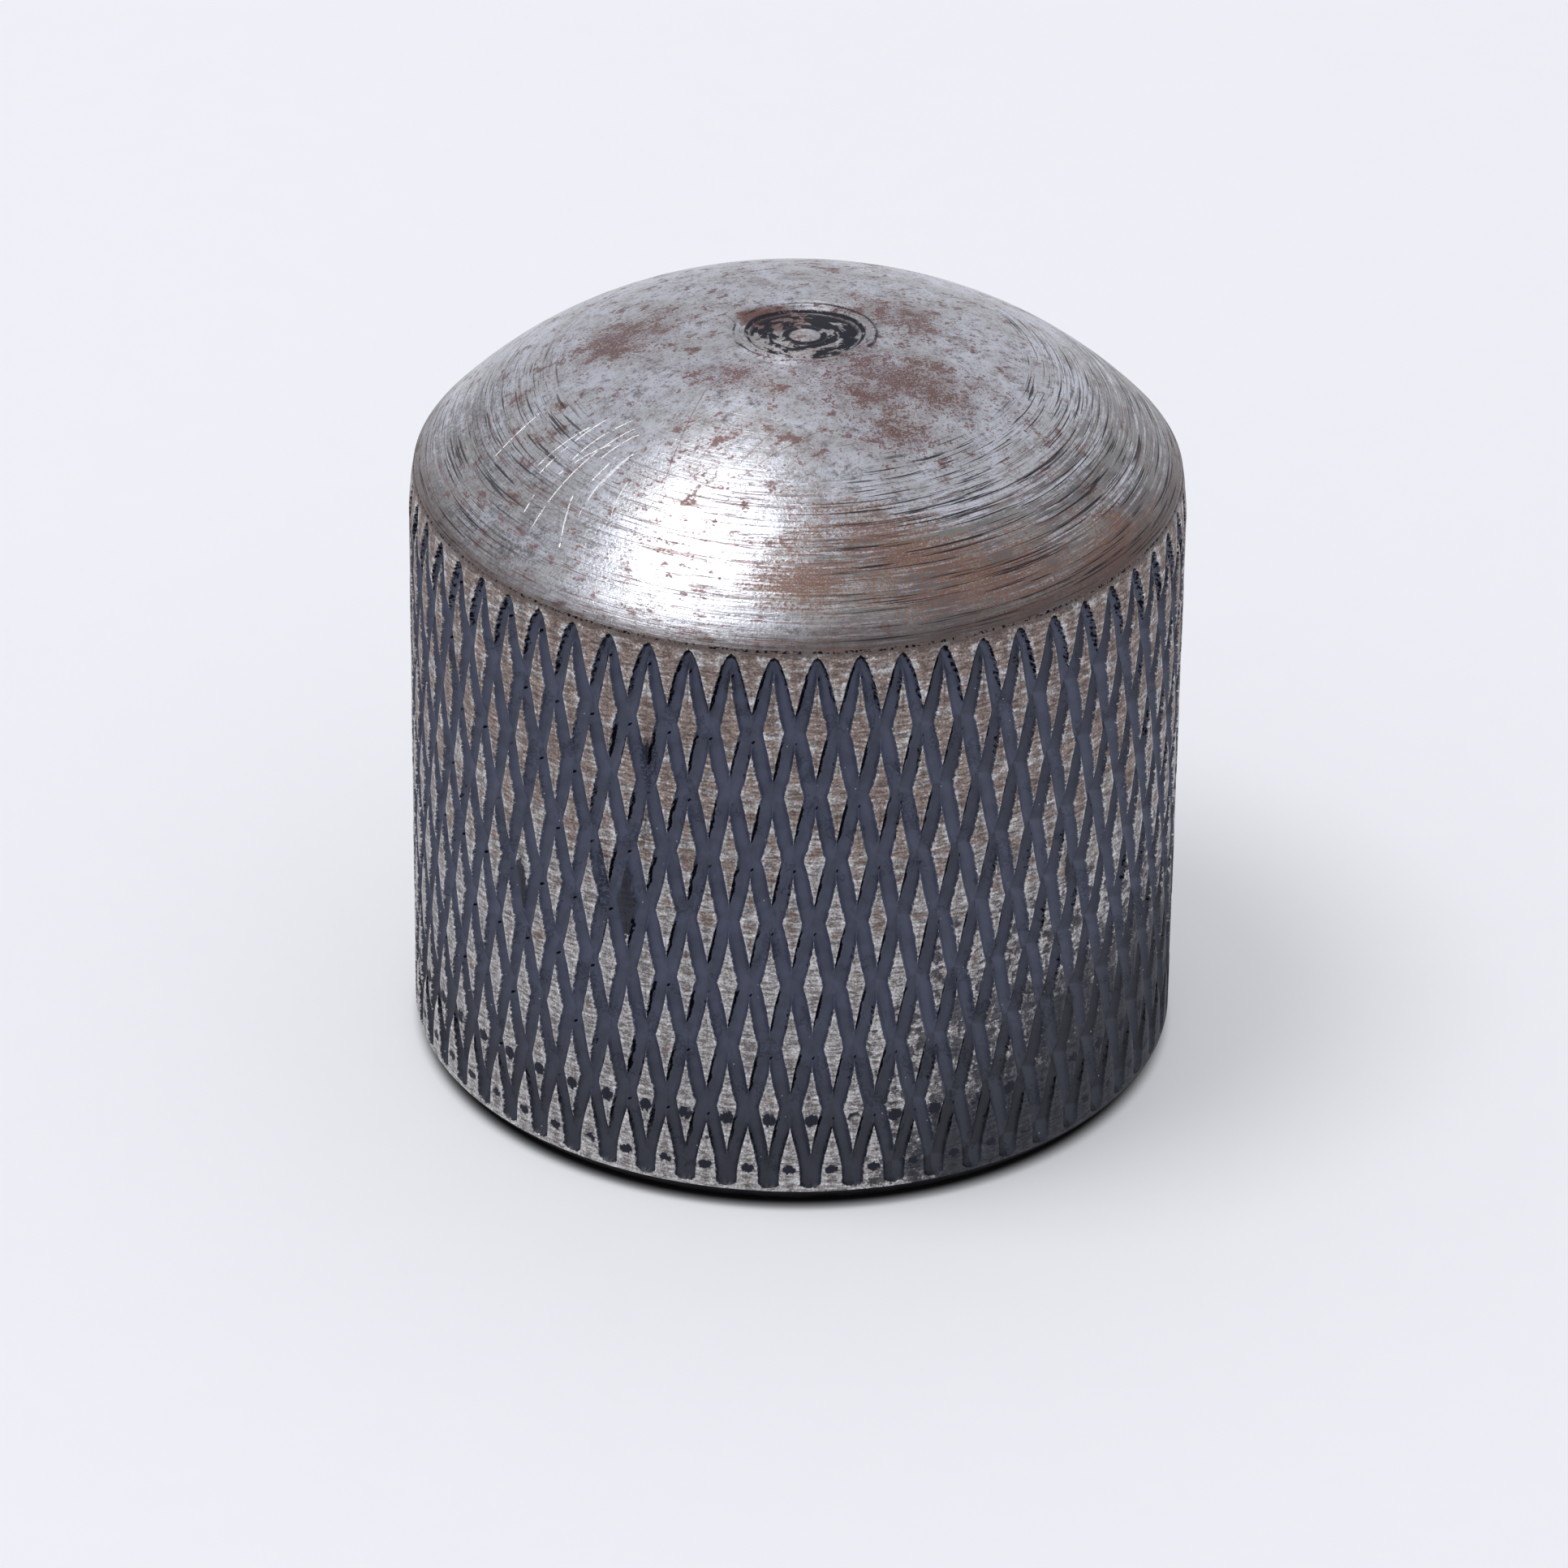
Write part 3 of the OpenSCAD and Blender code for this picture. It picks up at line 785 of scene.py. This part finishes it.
HAIRLINES = [
    ((-2.05, -2.3), (-3.2, -5.8), 0.05), ((-0.45, -4.05), (-1.4, -5.2), 0.0),
    ((0.85, -4.0), (-1.65, -5.85), 0.1), ((3.4, -3.2), (0.7, -4.7), -0.2),
    ((-2.9, -5.75), (-2.7, -6.25), 0.0), ((-1.55, -6.45), (-1.95, -6.85), 0.0),
    ((-1.4, -3.75), (-2.35, -4.95), 0.0), ((-7.3, -0.4), (-5.2, -5.3), 1.15),
]


# ---- The knob's finishes ----
def degrees_round(x, y):
    """Azimuth in degrees, from -270 to 90, with its seam at the back."""
    return calc("ARCTAN2", x, y * -1.0) * (180 / math.pi) - 90


def side_patterns(f):
    """Places and patterns that several layers of the side share."""
    f.u, f.v = f.map("cell")
    f.edge, f.torn = f.map("edge")
    f.azimuth = degrees_round(f.x, f.y)
    f.row = (f.z - FOOT_Z) / ROW_H
    f.ragged = noise(f.where, 11, 3, 0.6)
    f.jag = f.ragged - 0.5
    f.fine = noise(f.where, 20, 2, 0.6)
    f.streak = noise(at(f.x * 3.2, f.y * 3.2, f.z * 14), 1, 3, 0.6)
    f.stain = noise(at(f.x * 1.6 + 7.0, f.y * 1.6, f.z * 4), 1, 3, 0.6)
    f.blotch = noise(f.where, 1.1, 3, 0.55)
    f.land = 1 - smooth(f.edge + 0.12 * f.jag, 0.0, 0.012)
    f.right = near(f.azimuth, -20, 42, 28)


def land_colour(f):
    """Fine streaks round the knob, worn bright at the lands' edges, with brown rust over them.
    Gives the colour and how rusty it is."""
    worn = smooth(abs(f.u) / LAND_HALF_W + abs(f.v) / LAND_REACH, 0.45, 0.95)
    bright = smooth(f.streak * 0.55 + f.fine * 0.45 + worn * 0.06, 0.39, 0.66)
    steel = blend(bright, LAND_DARK, LAND_BRIGHT)
    height = smooth(f.z, 3.0, 13.5)
    rust = f.blotch * 0.35 + f.stain * 0.65 + (height - 0.5) * 0.2 - worn * 0.05
    rust = smooth(rust, 0.46, 0.58)
    rust_colour = blend(smooth(f.fine * 0.4 + f.streak * 0.6, 0.38, 0.6), RUST_DARK, RUST_LIGHT)
    colour = blend(rust * 0.75, steel, rust_colour)
    glint = smooth(f.fine * 0.5 + f.streak * 0.5 + worn * 0.04, 0.59, 0.66)
    return blend(glint * 0.55, colour, LAND_GLINT), rust


def side_dirt(f):
    """Spots and pits low on the knurl, filled lands, and the dirty right side and foot, which
    are also given by themselves."""
    spot_u = abs(f.u + 0.16 * (f.blotch - 0.5))
    spots = most(*(blot(spot_u, f.z + 0.3 * f.jag, *p) for p in SPOTS))
    spots = smooth(spots, 0.0, 0.22) * smooth(f.blotch, 0.3, 0.42)
    pits = dots(f.where, 1.9, 0.13) * smooth(f.blotch, 0.42, 0.55)
    pits = pits * (1 - smooth(f.z, 2, 7)) * 0.9
    specked = f.right * (1 - smooth(f.z, 4.5, 8.5)) * 0.1
    specked = specked + f.right * (1 - smooth(f.z, 7, 12)) * 0.03
    patchy = smooth(noise(f.where, 3.4, 4, 0.65) + specked, 0.59, 0.64)
    patchy = patchy * smooth(specked, 0.01, 0.05)
    filled = most(*(blot(f.azimuth, f.row, *p) for p in FILLED))
    filled = smooth(filled + 0.7 * f.jag, 0.05, 0.18)
    dirty = near(f.azimuth, -30, 12, 45) * (1 - smooth(f.z, 2.5, 9))
    dirty = dirty + near(f.azimuth, -30, 20, 38) * (1 - smooth(f.z, 1.2, 3.2))
    dirty = dirty * 0.45 + f.blotch * 0.5 + f.stain * 0.4 + f.ragged * 0.5
    dirty = smooth(dirty, 0.88, 1.06)
    return most(spots, pits, filled * 0.95, dirty * 0.9, patchy * 0.8), dirty


def groove_colour(f, dirty):
    """Dull dark oxide, darker in the dirt, with a few bright specks, and painted shade darker
    towards the foot. On the right, painted shade darkens the grooves that rise to the right, and
    painted light makes those that rise to the left paler, with a painted highlight along the lands'
    edges beside them."""
    slate = blend(smooth(noise(f.where, 2.3, 2), 0.35, 0.65), GROOVE_DARK, GROOVE_LIGHT)
    # Painted shade: darker towards the foot.
    slate = blend(0.6 * (1 - smooth(f.z, 1.0, 6.0)), slate, BLACK)
    slate = blend(dirty * 0.45, slate, BLACK)
    # On the right: painted shade on the grooves that rise to the right, painted light on those that
    # rise to the left.
    rising = 1 - smooth(f.u * f.v, -0.012, 0.012)
    slate = blend(f.right * rising * 0.3, slate, BLACK)
    slate = blend(f.right * (1 - rising) * 0.22, slate, GROOVE_PAINTED_LIGHT)
    # A painted highlight along the lands' upper right edges on the right.
    painted_edge_highlight = near(f.edge, 0.03, 0.012, 0.03) * (1 - rising) * smooth(f.u, 0.0, 0.05) * f.right
    slate = blend(painted_edge_highlight * 0.45, slate, EDGE_PAINTED_HIGHLIGHT)
    return blend(dots(f.where, 2.6, 0.055), slate, SPECK)


def painted_shade_in_torn_edges(f):
    """Painted shade: ragged black in the gaps along the torn edges of the lands, reaching farther
    out on the lower right edges at the right.
    """
    painted_shadow_side = smooth(f.u, 0.0, 0.04) * (1 - smooth(f.v, -0.06, 0.0)) * near(f.azimuth, -30, 62, 30)
    gap = smooth(noise(f.where, 2.4), 0.4, 0.6)
    # The painted shade reaches farther from the lower right edges on the right, where the gaps'
    # walls hide their floors.
    reach = 0.075 * painted_shadow_side * smooth(f.azimuth, -98, -50)
    torn = smooth(f.torn + 0.8 * f.jag + 0.12 * painted_shadow_side, 0.24, 0.36)
    start = smooth(f.edge + 0.06 * f.jag - 0.018 * gap, -0.004, 0.004)
    end = smooth(f.edge + 0.08 * (f.fine - 0.5) - 0.045 * gap - reach, 0.038, 0.052)
    return torn * start * (1 - end) * (0.2 + 0.8 * smooth(f.z, 1.4, 2.2))


def side_black(f):
    """Painted shade in the torn edges, pits above the crossings, the grooves' tips, and grit, which
    is also given by itself."""
    pit_x, pit_y = (f.u - 0.03) * PITCH, (f.v - 0.8) * ROW_H
    pit = reach(pit_x, pit_y) + 0.05 * f.jag
    pit = (1 - smooth(pit, 0.024, 0.042)) * smooth(f.blotch, 0.42, 0.5)
    tip = smooth(f.z + 0.3 * f.jag, HEAD_Z + 0.05, HEAD_Z + 0.13) * (1 - f.land)
    gritty = most(*(blot(f.azimuth, f.row, *p) for p in GRITTY))
    gritty = smooth(gritty + 0.8 * (f.blotch - 0.5), 0.0, 0.4)
    gritty = most(gritty, smooth(f.blotch, 0.57, 0.6) * (1 - f.land) * 0.5)
    grit = gritty * smooth(noise(f.where, 13, 2, 0.7), 0.47, 0.53)
    return most(painted_shade_in_torn_edges(f), pit * (1 - f.land), tip, grit * 0.55), grit


def side_finish():
    """The knurled side: worn, streaked and rusty lands over grooves of dull dark oxide."""
    f = Finish("worn_knurl")
    side_patterns(f)
    colour, rust = land_colour(f)
    dirt, dirty = side_dirt(f)
    colour = blend(dirt, colour, DIRT)
    colour = blend(f.land, groove_colour(f, dirty), colour)
    rim = smooth(f.z + 0.4 * f.jag, HEAD_Z + 0.14, HEAD_Z + 0.3)
    colour = blend(rim * 0.85, colour, RIM_BROWN)
    black, grit = side_black(f)
    colour = blend(black, colour, BLACK)
    metal = f.land * (1 - rust * 0.8) * (1 - dirt) * (1 - rim) * 0.7
    f.set(Base_Color=colour, Metallic=most(metal, black, dirt * f.land * 0.7),
          Roughness=blend(f.land, 0.48, blend(most(rust, dirt), 0.42, 0.62)))
    f.bump(blend(f.land, f.ragged * 0.4 + grit * 0.3, f.streak * 0.7 + f.fine * 0.5), 0.016)
    return f.material


def dome_patterns(f):
    """Places and patterns that several layers of the dome share."""
    f.r = reach(f.x, f.y)
    f.azimuth = degrees_round(f.x, f.y)
    f.outer = smooth(f.r, 4.6, 7.4)
    f.right = near(f.azimuth, *DOME_RIGHT)
    f.track = f.r - f.z * 0.6
    f.fine = noise(f.where, 14, 3, 0.7)
    f.gritty = noise(f.where, 24, 2, 0.6)
    f.mottle = noise(f.where, 2.8, 6, 0.72)
    f.drift = noise(f.where, 0.8, 4, 0.6)
    f.sway = f.drift - 0.5
    f.clump = noise(f.where, 1.9, 4, 0.65)
    cosine, sine = f.x / (f.r + 0.001), f.y / (f.r + 0.001)
    f.arcs = noise(at(cosine * 8, sine * 8, f.track * 8), 1, 5, 0.7)
    f.rings = noise(at(cosine * 1.5, sine * 1.5, f.track * 14), 1, 3, 0.6)
    f.lines = noise(at(cosine * 3.0 + 5.0, sine * 3.0, f.track * 17), 1, 2, 0.55)
    f.contour = noise(at(cosine * 0.9 + 3.0, sine * 0.9, f.track * 5.5), 1, 2, 0.5)
    along, across = f.x * 0.866 + f.y * 0.5, f.y * 0.866 - f.x * 0.5
    rubbed = noise(at(along * 2.2, across * 5.5, f.z * 2), 1, 5, 0.7)
    f.grain = blend(f.outer, f.mottle * 0.8 + rubbed * 0.7 - 0.25,
                    f.mottle * 0.6 + f.arcs * 0.8 - 0.2)
    f.dish_x, f.dish_y = f.x - DISH_OFF[0], (f.y - DISH_OFF[1]) * 1.12
    f.from_dish = reach(f.dish_x, f.dish_y)
    f.dish_r = f.from_dish + 0.1 * (f.mottle - 0.5)


def dome_steel(f):
    """Steel, mottled in the middle and streaked with turning marks farther out, with painted shade
    darkening its outer right and left.
    """
    tone = f.grain * 0.5 + f.fine * 0.4 + blend(f.outer, f.mottle, f.rings) * 0.25 - 0.048
    # Painted shade over the outer right and left of the dome.
    dome_painted_shade = most(f.right, near(f.azimuth, -160, 16, 26) * 0.4)
    tone = tone + f.right * f.outer * (f.arcs * 0.6 + f.rings * 0.6 - 0.56)
    tone = tone - 0.2 * dome_painted_shade * smooth(f.r, 6.2, 8.0)
    dark = blend(f.outer, DOME_PURPLE, DOME_DARK)
    steel = blend(smooth(tone, 0.35, 0.58), dark, DOME_BRIGHT)
    return blend(smooth(f.drift, 0.4, 0.6) * 0.4, steel, DOME_OLIVE)


def dome_rust(f):
    """The rust's colour, its patches with its streaks along the turning marks near the rim, and
    its speckles all over."""
    patches = most(-1.0, *(blot(f.x, f.y, *p) for p in DOME_RUST)) + 1.5 * f.sway
    near_rim = most(-1.0, *(blot(f.azimuth / 8, f.r, *p) for p in RIM_RUST)) + 1.2 * f.sway
    rust = f.grain * 0.43 + f.fine * 0.4 + f.clump * 0.22 + 0.1 * patches
    streaks = f.lines * 0.3 + f.rings * 0.25 + f.fine * 0.45 + 0.1 * near_rim
    streaks = smooth(streaks, 0.475, 0.565) * smooth(near_rim, -0.8, 0.0)
    rust = most(smooth(rust, 0.528, 0.606), streaks)
    rust = rust * (1 - 0.55 * smooth(f.gritty, 0.54, 0.66))
    speckle = f.grain * 0.45 + f.fine * 0.25 + f.clump * 0.35 + 0.1 * f.sway
    speckle = smooth(speckle, 0.54, 0.61) * (0.85 - 0.35 * (f.right * f.outer))
    red = blend(smooth(f.gritty * 0.6 + f.fine * 0.4, 0.4, 0.6), RUST_RED, RUST_BROWN)
    brown = blend(smooth(f.fine * 0.75 + f.arcs * 0.25, 0.42, 0.58), RUST_BROWN, RUST_ORANGE)
    return blend(smooth(near_rim, -0.5, 0.1), red, brown), rust, speckle


def dome_rim(f):
    """Brown along the rim, and a thin veil of it over the lower right of the dome."""
    dull = smooth(f.track + 0.8 * f.sway, -1.5, -0.1) * near(f.azimuth, -30, 55, 40)
    rim_r = f.r + 0.9 * (f.arcs - 0.5) - 0.16 * near(f.azimuth, -125, 20, 20)
    return most(smooth(rim_r, 8.5, 9.05) * 0.8, dull * 0.25)


def dish_black(f):
    """Black residue in the dish and in the fine grooves round it."""
    turn_x, turn_y = f.dish_x / (f.from_dish + 0.001), f.dish_y / (f.from_dish + 0.001)
    marble = noise(at(turn_x * 1.7 + 4.0, turn_y * 1.7, f.from_dish * 4.5 + 7.0), 1, 4, 0.62)
    marble = marble * 0.6 + f.mottle * 0.4
    biased = marble + (f.dish_x * 0.02 + f.dish_y * 0.025)
    broken = smooth(marble, 0.47, 0.53)
    return most(near(f.dish_r, 1.38, 0.032, 0.035) * smooth(f.mottle, 0.4, 0.46),
                near(f.dish_r, 1.69, 0.02, 0.035) * broken * 0.9,
                near(f.dish_r, 1.53, 0.008, 0.02) * broken * 0.6,
                near(f.dish_r, 0.9, 0.34, 0.15) * smooth(biased, 0.462, 0.495),
                near(f.dish_r, 0.45, 0.06, 0.05) * smooth(biased, 0.41, 0.44))


def turning_marks(f):
    """Dark scored lines, most of them at the right, and thin brown rings."""
    scored = most(f.right, near(f.azimuth, -168, 12, 35) * 0.5)
    scored = scored * smooth(f.r + 1.2 * f.sway, 4.6, 6.2)
    scored = smooth(scored, 0.1, 0.6) * smooth(f.lines * 0.85 + f.arcs * 0.15, 0.565, 0.605)
    ring = near(f.contour, 0.5, 0.0, 0.022) * smooth(f.arcs, 0.42, 0.52)
    return scored, ring * smooth(f.r, 5.4, 6.2)


def dome_finish():
    """The turned dome: steel with fine rings and mottling, patches of rust and scratches."""
    f = Finish("worn_dome")
    dome_patterns(f)
    rust_colour, rust, speckle = dome_rust(f)
    colour = blend(most(speckle, rust * 0.9), dome_steel(f), rust_colour)
    rim = dome_rim(f)
    colour = blend(rim, colour, RIM_BROWN)
    inside = 1 - smooth(f.from_dish, 1.3, 1.5)
    colour = blend(inside * 0.35, colour, DISH_TAN)
    stained = smooth(blot(f.x, f.y, *DISH_STAIN) + 1.2 * (f.mottle - 0.5), 0.05, 0.35)
    colour = blend(stained * 0.7, colour, RUST_BROWN)

    # Dark marks, and bright scratches that cross the turning marks on the left: real scratches,
    # painted near white and not metallic as a painted highlight.
    dish = dish_black(f)
    scored, ring = turning_marks(f)
    colour = blend(most(dish, scored * 0.9), colour, DISH_BLACK)
    hairs = most(*(stroke(f.x, f.y, *h, 0.006, 0.016) for h in HAIRLINES))
    hairs = hairs * smooth(f.fine, 0.36, 0.5)
    colour = blend(most(ring * 0.7, hairs * 0.6), colour, RUST_BROWN)
    # Real scratches, painted near white as a painted highlight.
    scratch = most(*(stroke(f.x, f.y, *h, 0.008, 0.016) for h in SCRATCHES))
    scratch = scratch * smooth(noise(f.where, 5, 3, 0.7), 0.42, 0.5)
    colour = blend(scratch, colour, SCRATCH)

    black = most(dish, scored)
    f.set(Base_Color=colour,
          Metallic=1 - most(rust * 0.5, speckle * 0.4, dish, rim * 0.5, inside * 0.3, scratch),
          Roughness=0.285 + 0.2 * (f.mottle - 0.5) + 0.2 * most(rust, speckle, black)
                    + 0.4 * (1 - smooth(f.dish_r, 1.7, 2.0)))
    relief = f.rings * 0.3 + f.grain * 0.28 + f.fine * 0.22
    f.bump(relief - black * 0.3 - ring * 0.2 + scratch * 0.2, 0.03)
    f.brushed(0.6)
    return f.material


def turned_finish(name, dark, light, metal, gloss):
    """Dull, oxidised steel with turning marks, for the bore, and for the base, whose near-black
    colours are painted shade.
    """
    f = Finish(name)
    r = reach(f.x, f.y)
    marks = noise(at(f.x / (r + 0.001), f.y / (r + 0.001), r * 9 + f.z * 11), 1, 3, 0.6)
    mottle = noise(f.where, 2.2, 3)
    stain = smooth(noise(f.where, 0.8, 3), 0.5, 0.62)
    colour = blend(smooth(marks * 0.6 + mottle * 0.4, 0.38, 0.62), dark, light)
    colour = blend(stain * metal, colour, RUST_DARK)
    f.set(Base_Color=colour, Metallic=metal * (1 - stain), Roughness=0.5 + 0.2 * mottle,
          Specular_IOR_Level=gloss)
    f.bump(marks, 0.015)
    return f.material


def screw_finish():
    """Blackened steel, worn bright in patches."""
    f = Finish("worn_screw")
    mottle = noise(f.where, 5, 3)
    fine = noise(f.where, 20, 2)
    worn = smooth(mottle * 0.6 + fine * 0.4, 0.5, 0.62)
    colour = blend(worn, SCREW_DARK, SCREW_BRIGHT)
    rust = smooth(noise(f.where, 2.0, 3), 0.54, 0.64)
    f.set(Base_Color=blend(rust * 0.7, colour, RUST_DARK), Metallic=0.9 * (1 - rust),
          Roughness=0.38 + 0.2 * mottle)
    f.bump(mottle * 0.5 + fine * 0.5, 0.01)
    return f.material


def make_body():
    # The base's finish is near black: painted shade for the chamfer and the underside.
    materials = [side_finish(), dome_finish(),
                 turned_finish("painted_shade_base", BASE_PAINTED_SHADE_DARK, BASE_PAINTED_SHADE_LIGHT, 0, 0.05),
                 turned_finish("dull_bore", BORE_DARK, BORE_LIGHT, 0.75, 0.5)]
    body = make_piece("knob_body_worn", body_shell(), materials)
    hole = thread_mesh("hole_cutter", SCREW_HOLE_R, HOLE_L, HOLE_FROM, 0, materials, BORE)
    cut(body, hole)
    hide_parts("knob_body")
    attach(body, "root")


def make_screw():
    materials = [screw_finish()]
    screw = thread_mesh("set_screw_worn", SCREW_R, SCREW_L, 0, CUP_DEPTH, materials, 0)
    end = BORE_R + SCREW_BACK + SCREW_L
    slot = box_mesh("slot_cutter", (-2 * SCREW_R, end - SLOT_DEPTH, SCREW_Z - SLOT_W / 2),
                    (2 * SCREW_R, end + 1, SCREW_Z + SLOT_W / 2), materials)
    cut(screw, slot)
    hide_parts("set_screw")
    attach(screw, "root")


# ---- Camera, light and floor ----
CAMERA_AT = Vector((0, -0.17498, 0.1088))
CAMERA_LENS, SENSOR_W = 191.9, 36
PAN, TILT, ROLL = math.radians(-0.0818), math.radians(30.368), math.radians(0.6617)


def add_camera():
    data = bpy.data.cameras.new("camera")
    data.lens, data.sensor_width, data.sensor_fit = CAMERA_LENS, SENSOR_W, "HORIZONTAL"
    data.clip_start, data.clip_end = 0.01, 10
    camera = place("camera", data)
    camera.matrix_world = (Matrix.Translation(CAMERA_AT) @ Matrix.Rotation(-PAN, 4, "Z")
                           @ Matrix.Rotation(math.pi / 2 - TILT, 4, "X")
                           @ Matrix.Rotation(ROLL, 4, "Z"))
    scene.camera = camera


LAMP_D, LAMP_WATTS, LAMP_FAR = 0.2, 0.81, 0.5
LAMP_AZIMUTH, LAMP_ELEVATION = math.radians(195), math.radians(70.4)
SKY, SKY_STRENGTH = (0.94, 0.955, 1, 1), 0.64


def add_light():
    """A round lamp high on the left, and an even sky."""
    data = bpy.data.lights.new("key", "AREA")
    data.shape, data.size, data.energy = "DISK", LAMP_D, LAMP_WATTS
    light = place("key", data)
    level = math.cos(LAMP_ELEVATION)
    away = Vector((math.cos(LAMP_AZIMUTH) * level, math.sin(LAMP_AZIMUTH) * level,
                   math.sin(LAMP_ELEVATION)))
    light.location = away * LAMP_FAR
    light.rotation_mode = "QUATERNION"
    light.rotation_quaternion = away.to_track_quat("Z", "Y")
    world = bpy.data.worlds.new("world")
    scene.world = world
    world.use_nodes = True
    background = world.node_tree.nodes["Background"]
    background.inputs["Color"].default_value = SKY
    background.inputs["Strength"].default_value = SKY_STRENGTH


# The two tones of the surface: where it only lights the knob, and where it is seen.
PAPER = (0.855, 0.86, 0.9), (0.875, 0.88, 0.92)
PAPER_SEEN = (0.645, 0.65, 0.685), (0.665, 0.67, 0.705)
GLOW, FLOOR_GLOW = (0.97, 0.975, 1.0), 0.28  # what it adds of itself where it is seen
# The floor's painted contact shadow: black round the knob's foot, fading out past its radius.
PAINTED_SHADOW_IN, PAINTED_SHADOW_OUT = 0.42, 0.14  # where its dark ring fades, about the knob's radius, in mm
FLOOR_HALF = 3.0  # in metres


def floor_finish():
    """Pale paper. Where it is seen it glows a little, so that only deeper shadows show, and a
    contact shadow is painted black on it where the knob's chamfer overhangs it."""
    f = Finish("pale_floor")
    seen = most(*(output("LightPath", f"Is {kind} Ray", {}, f.tree)
                  for kind in ("Camera", "Glossy", "Transmission")))
    # Painted contact shadow: black and without glow beneath the chamfer's overhang.
    lit = smooth(reach(f.x, f.y), BODY_R - PAINTED_SHADOW_IN, BODY_R + PAINTED_SHADOW_OUT)
    grain = noise(f.where, 0.6, 4, 0.6)
    shade = blend(lit, BLACK, blend(grain, *PAPER_SEEN))
    f.set(Base_Color=blend(seen, blend(grain, *PAPER), shade), Roughness=0.8,
          Emission_Color=GLOW, Emission_Strength=seen * lit * FLOOR_GLOW)
    return f.material


def add_floor():
    mesh = bpy.data.meshes.new("floor")
    corners = ((-1, -1), (1, -1), (1, 1), (-1, 1))
    mesh.from_pydata([(x * FLOOR_HALF, y * FLOOR_HALF, 0) for x, y in corners],
                     [], [(0, 1, 2, 3)])
    mesh.materials.append(floor_finish())
    floor = place("floor", mesh)


add_camera()
add_light()
add_floor()
make_body()
make_screw()
scene.view_settings.view_transform = "Standard"
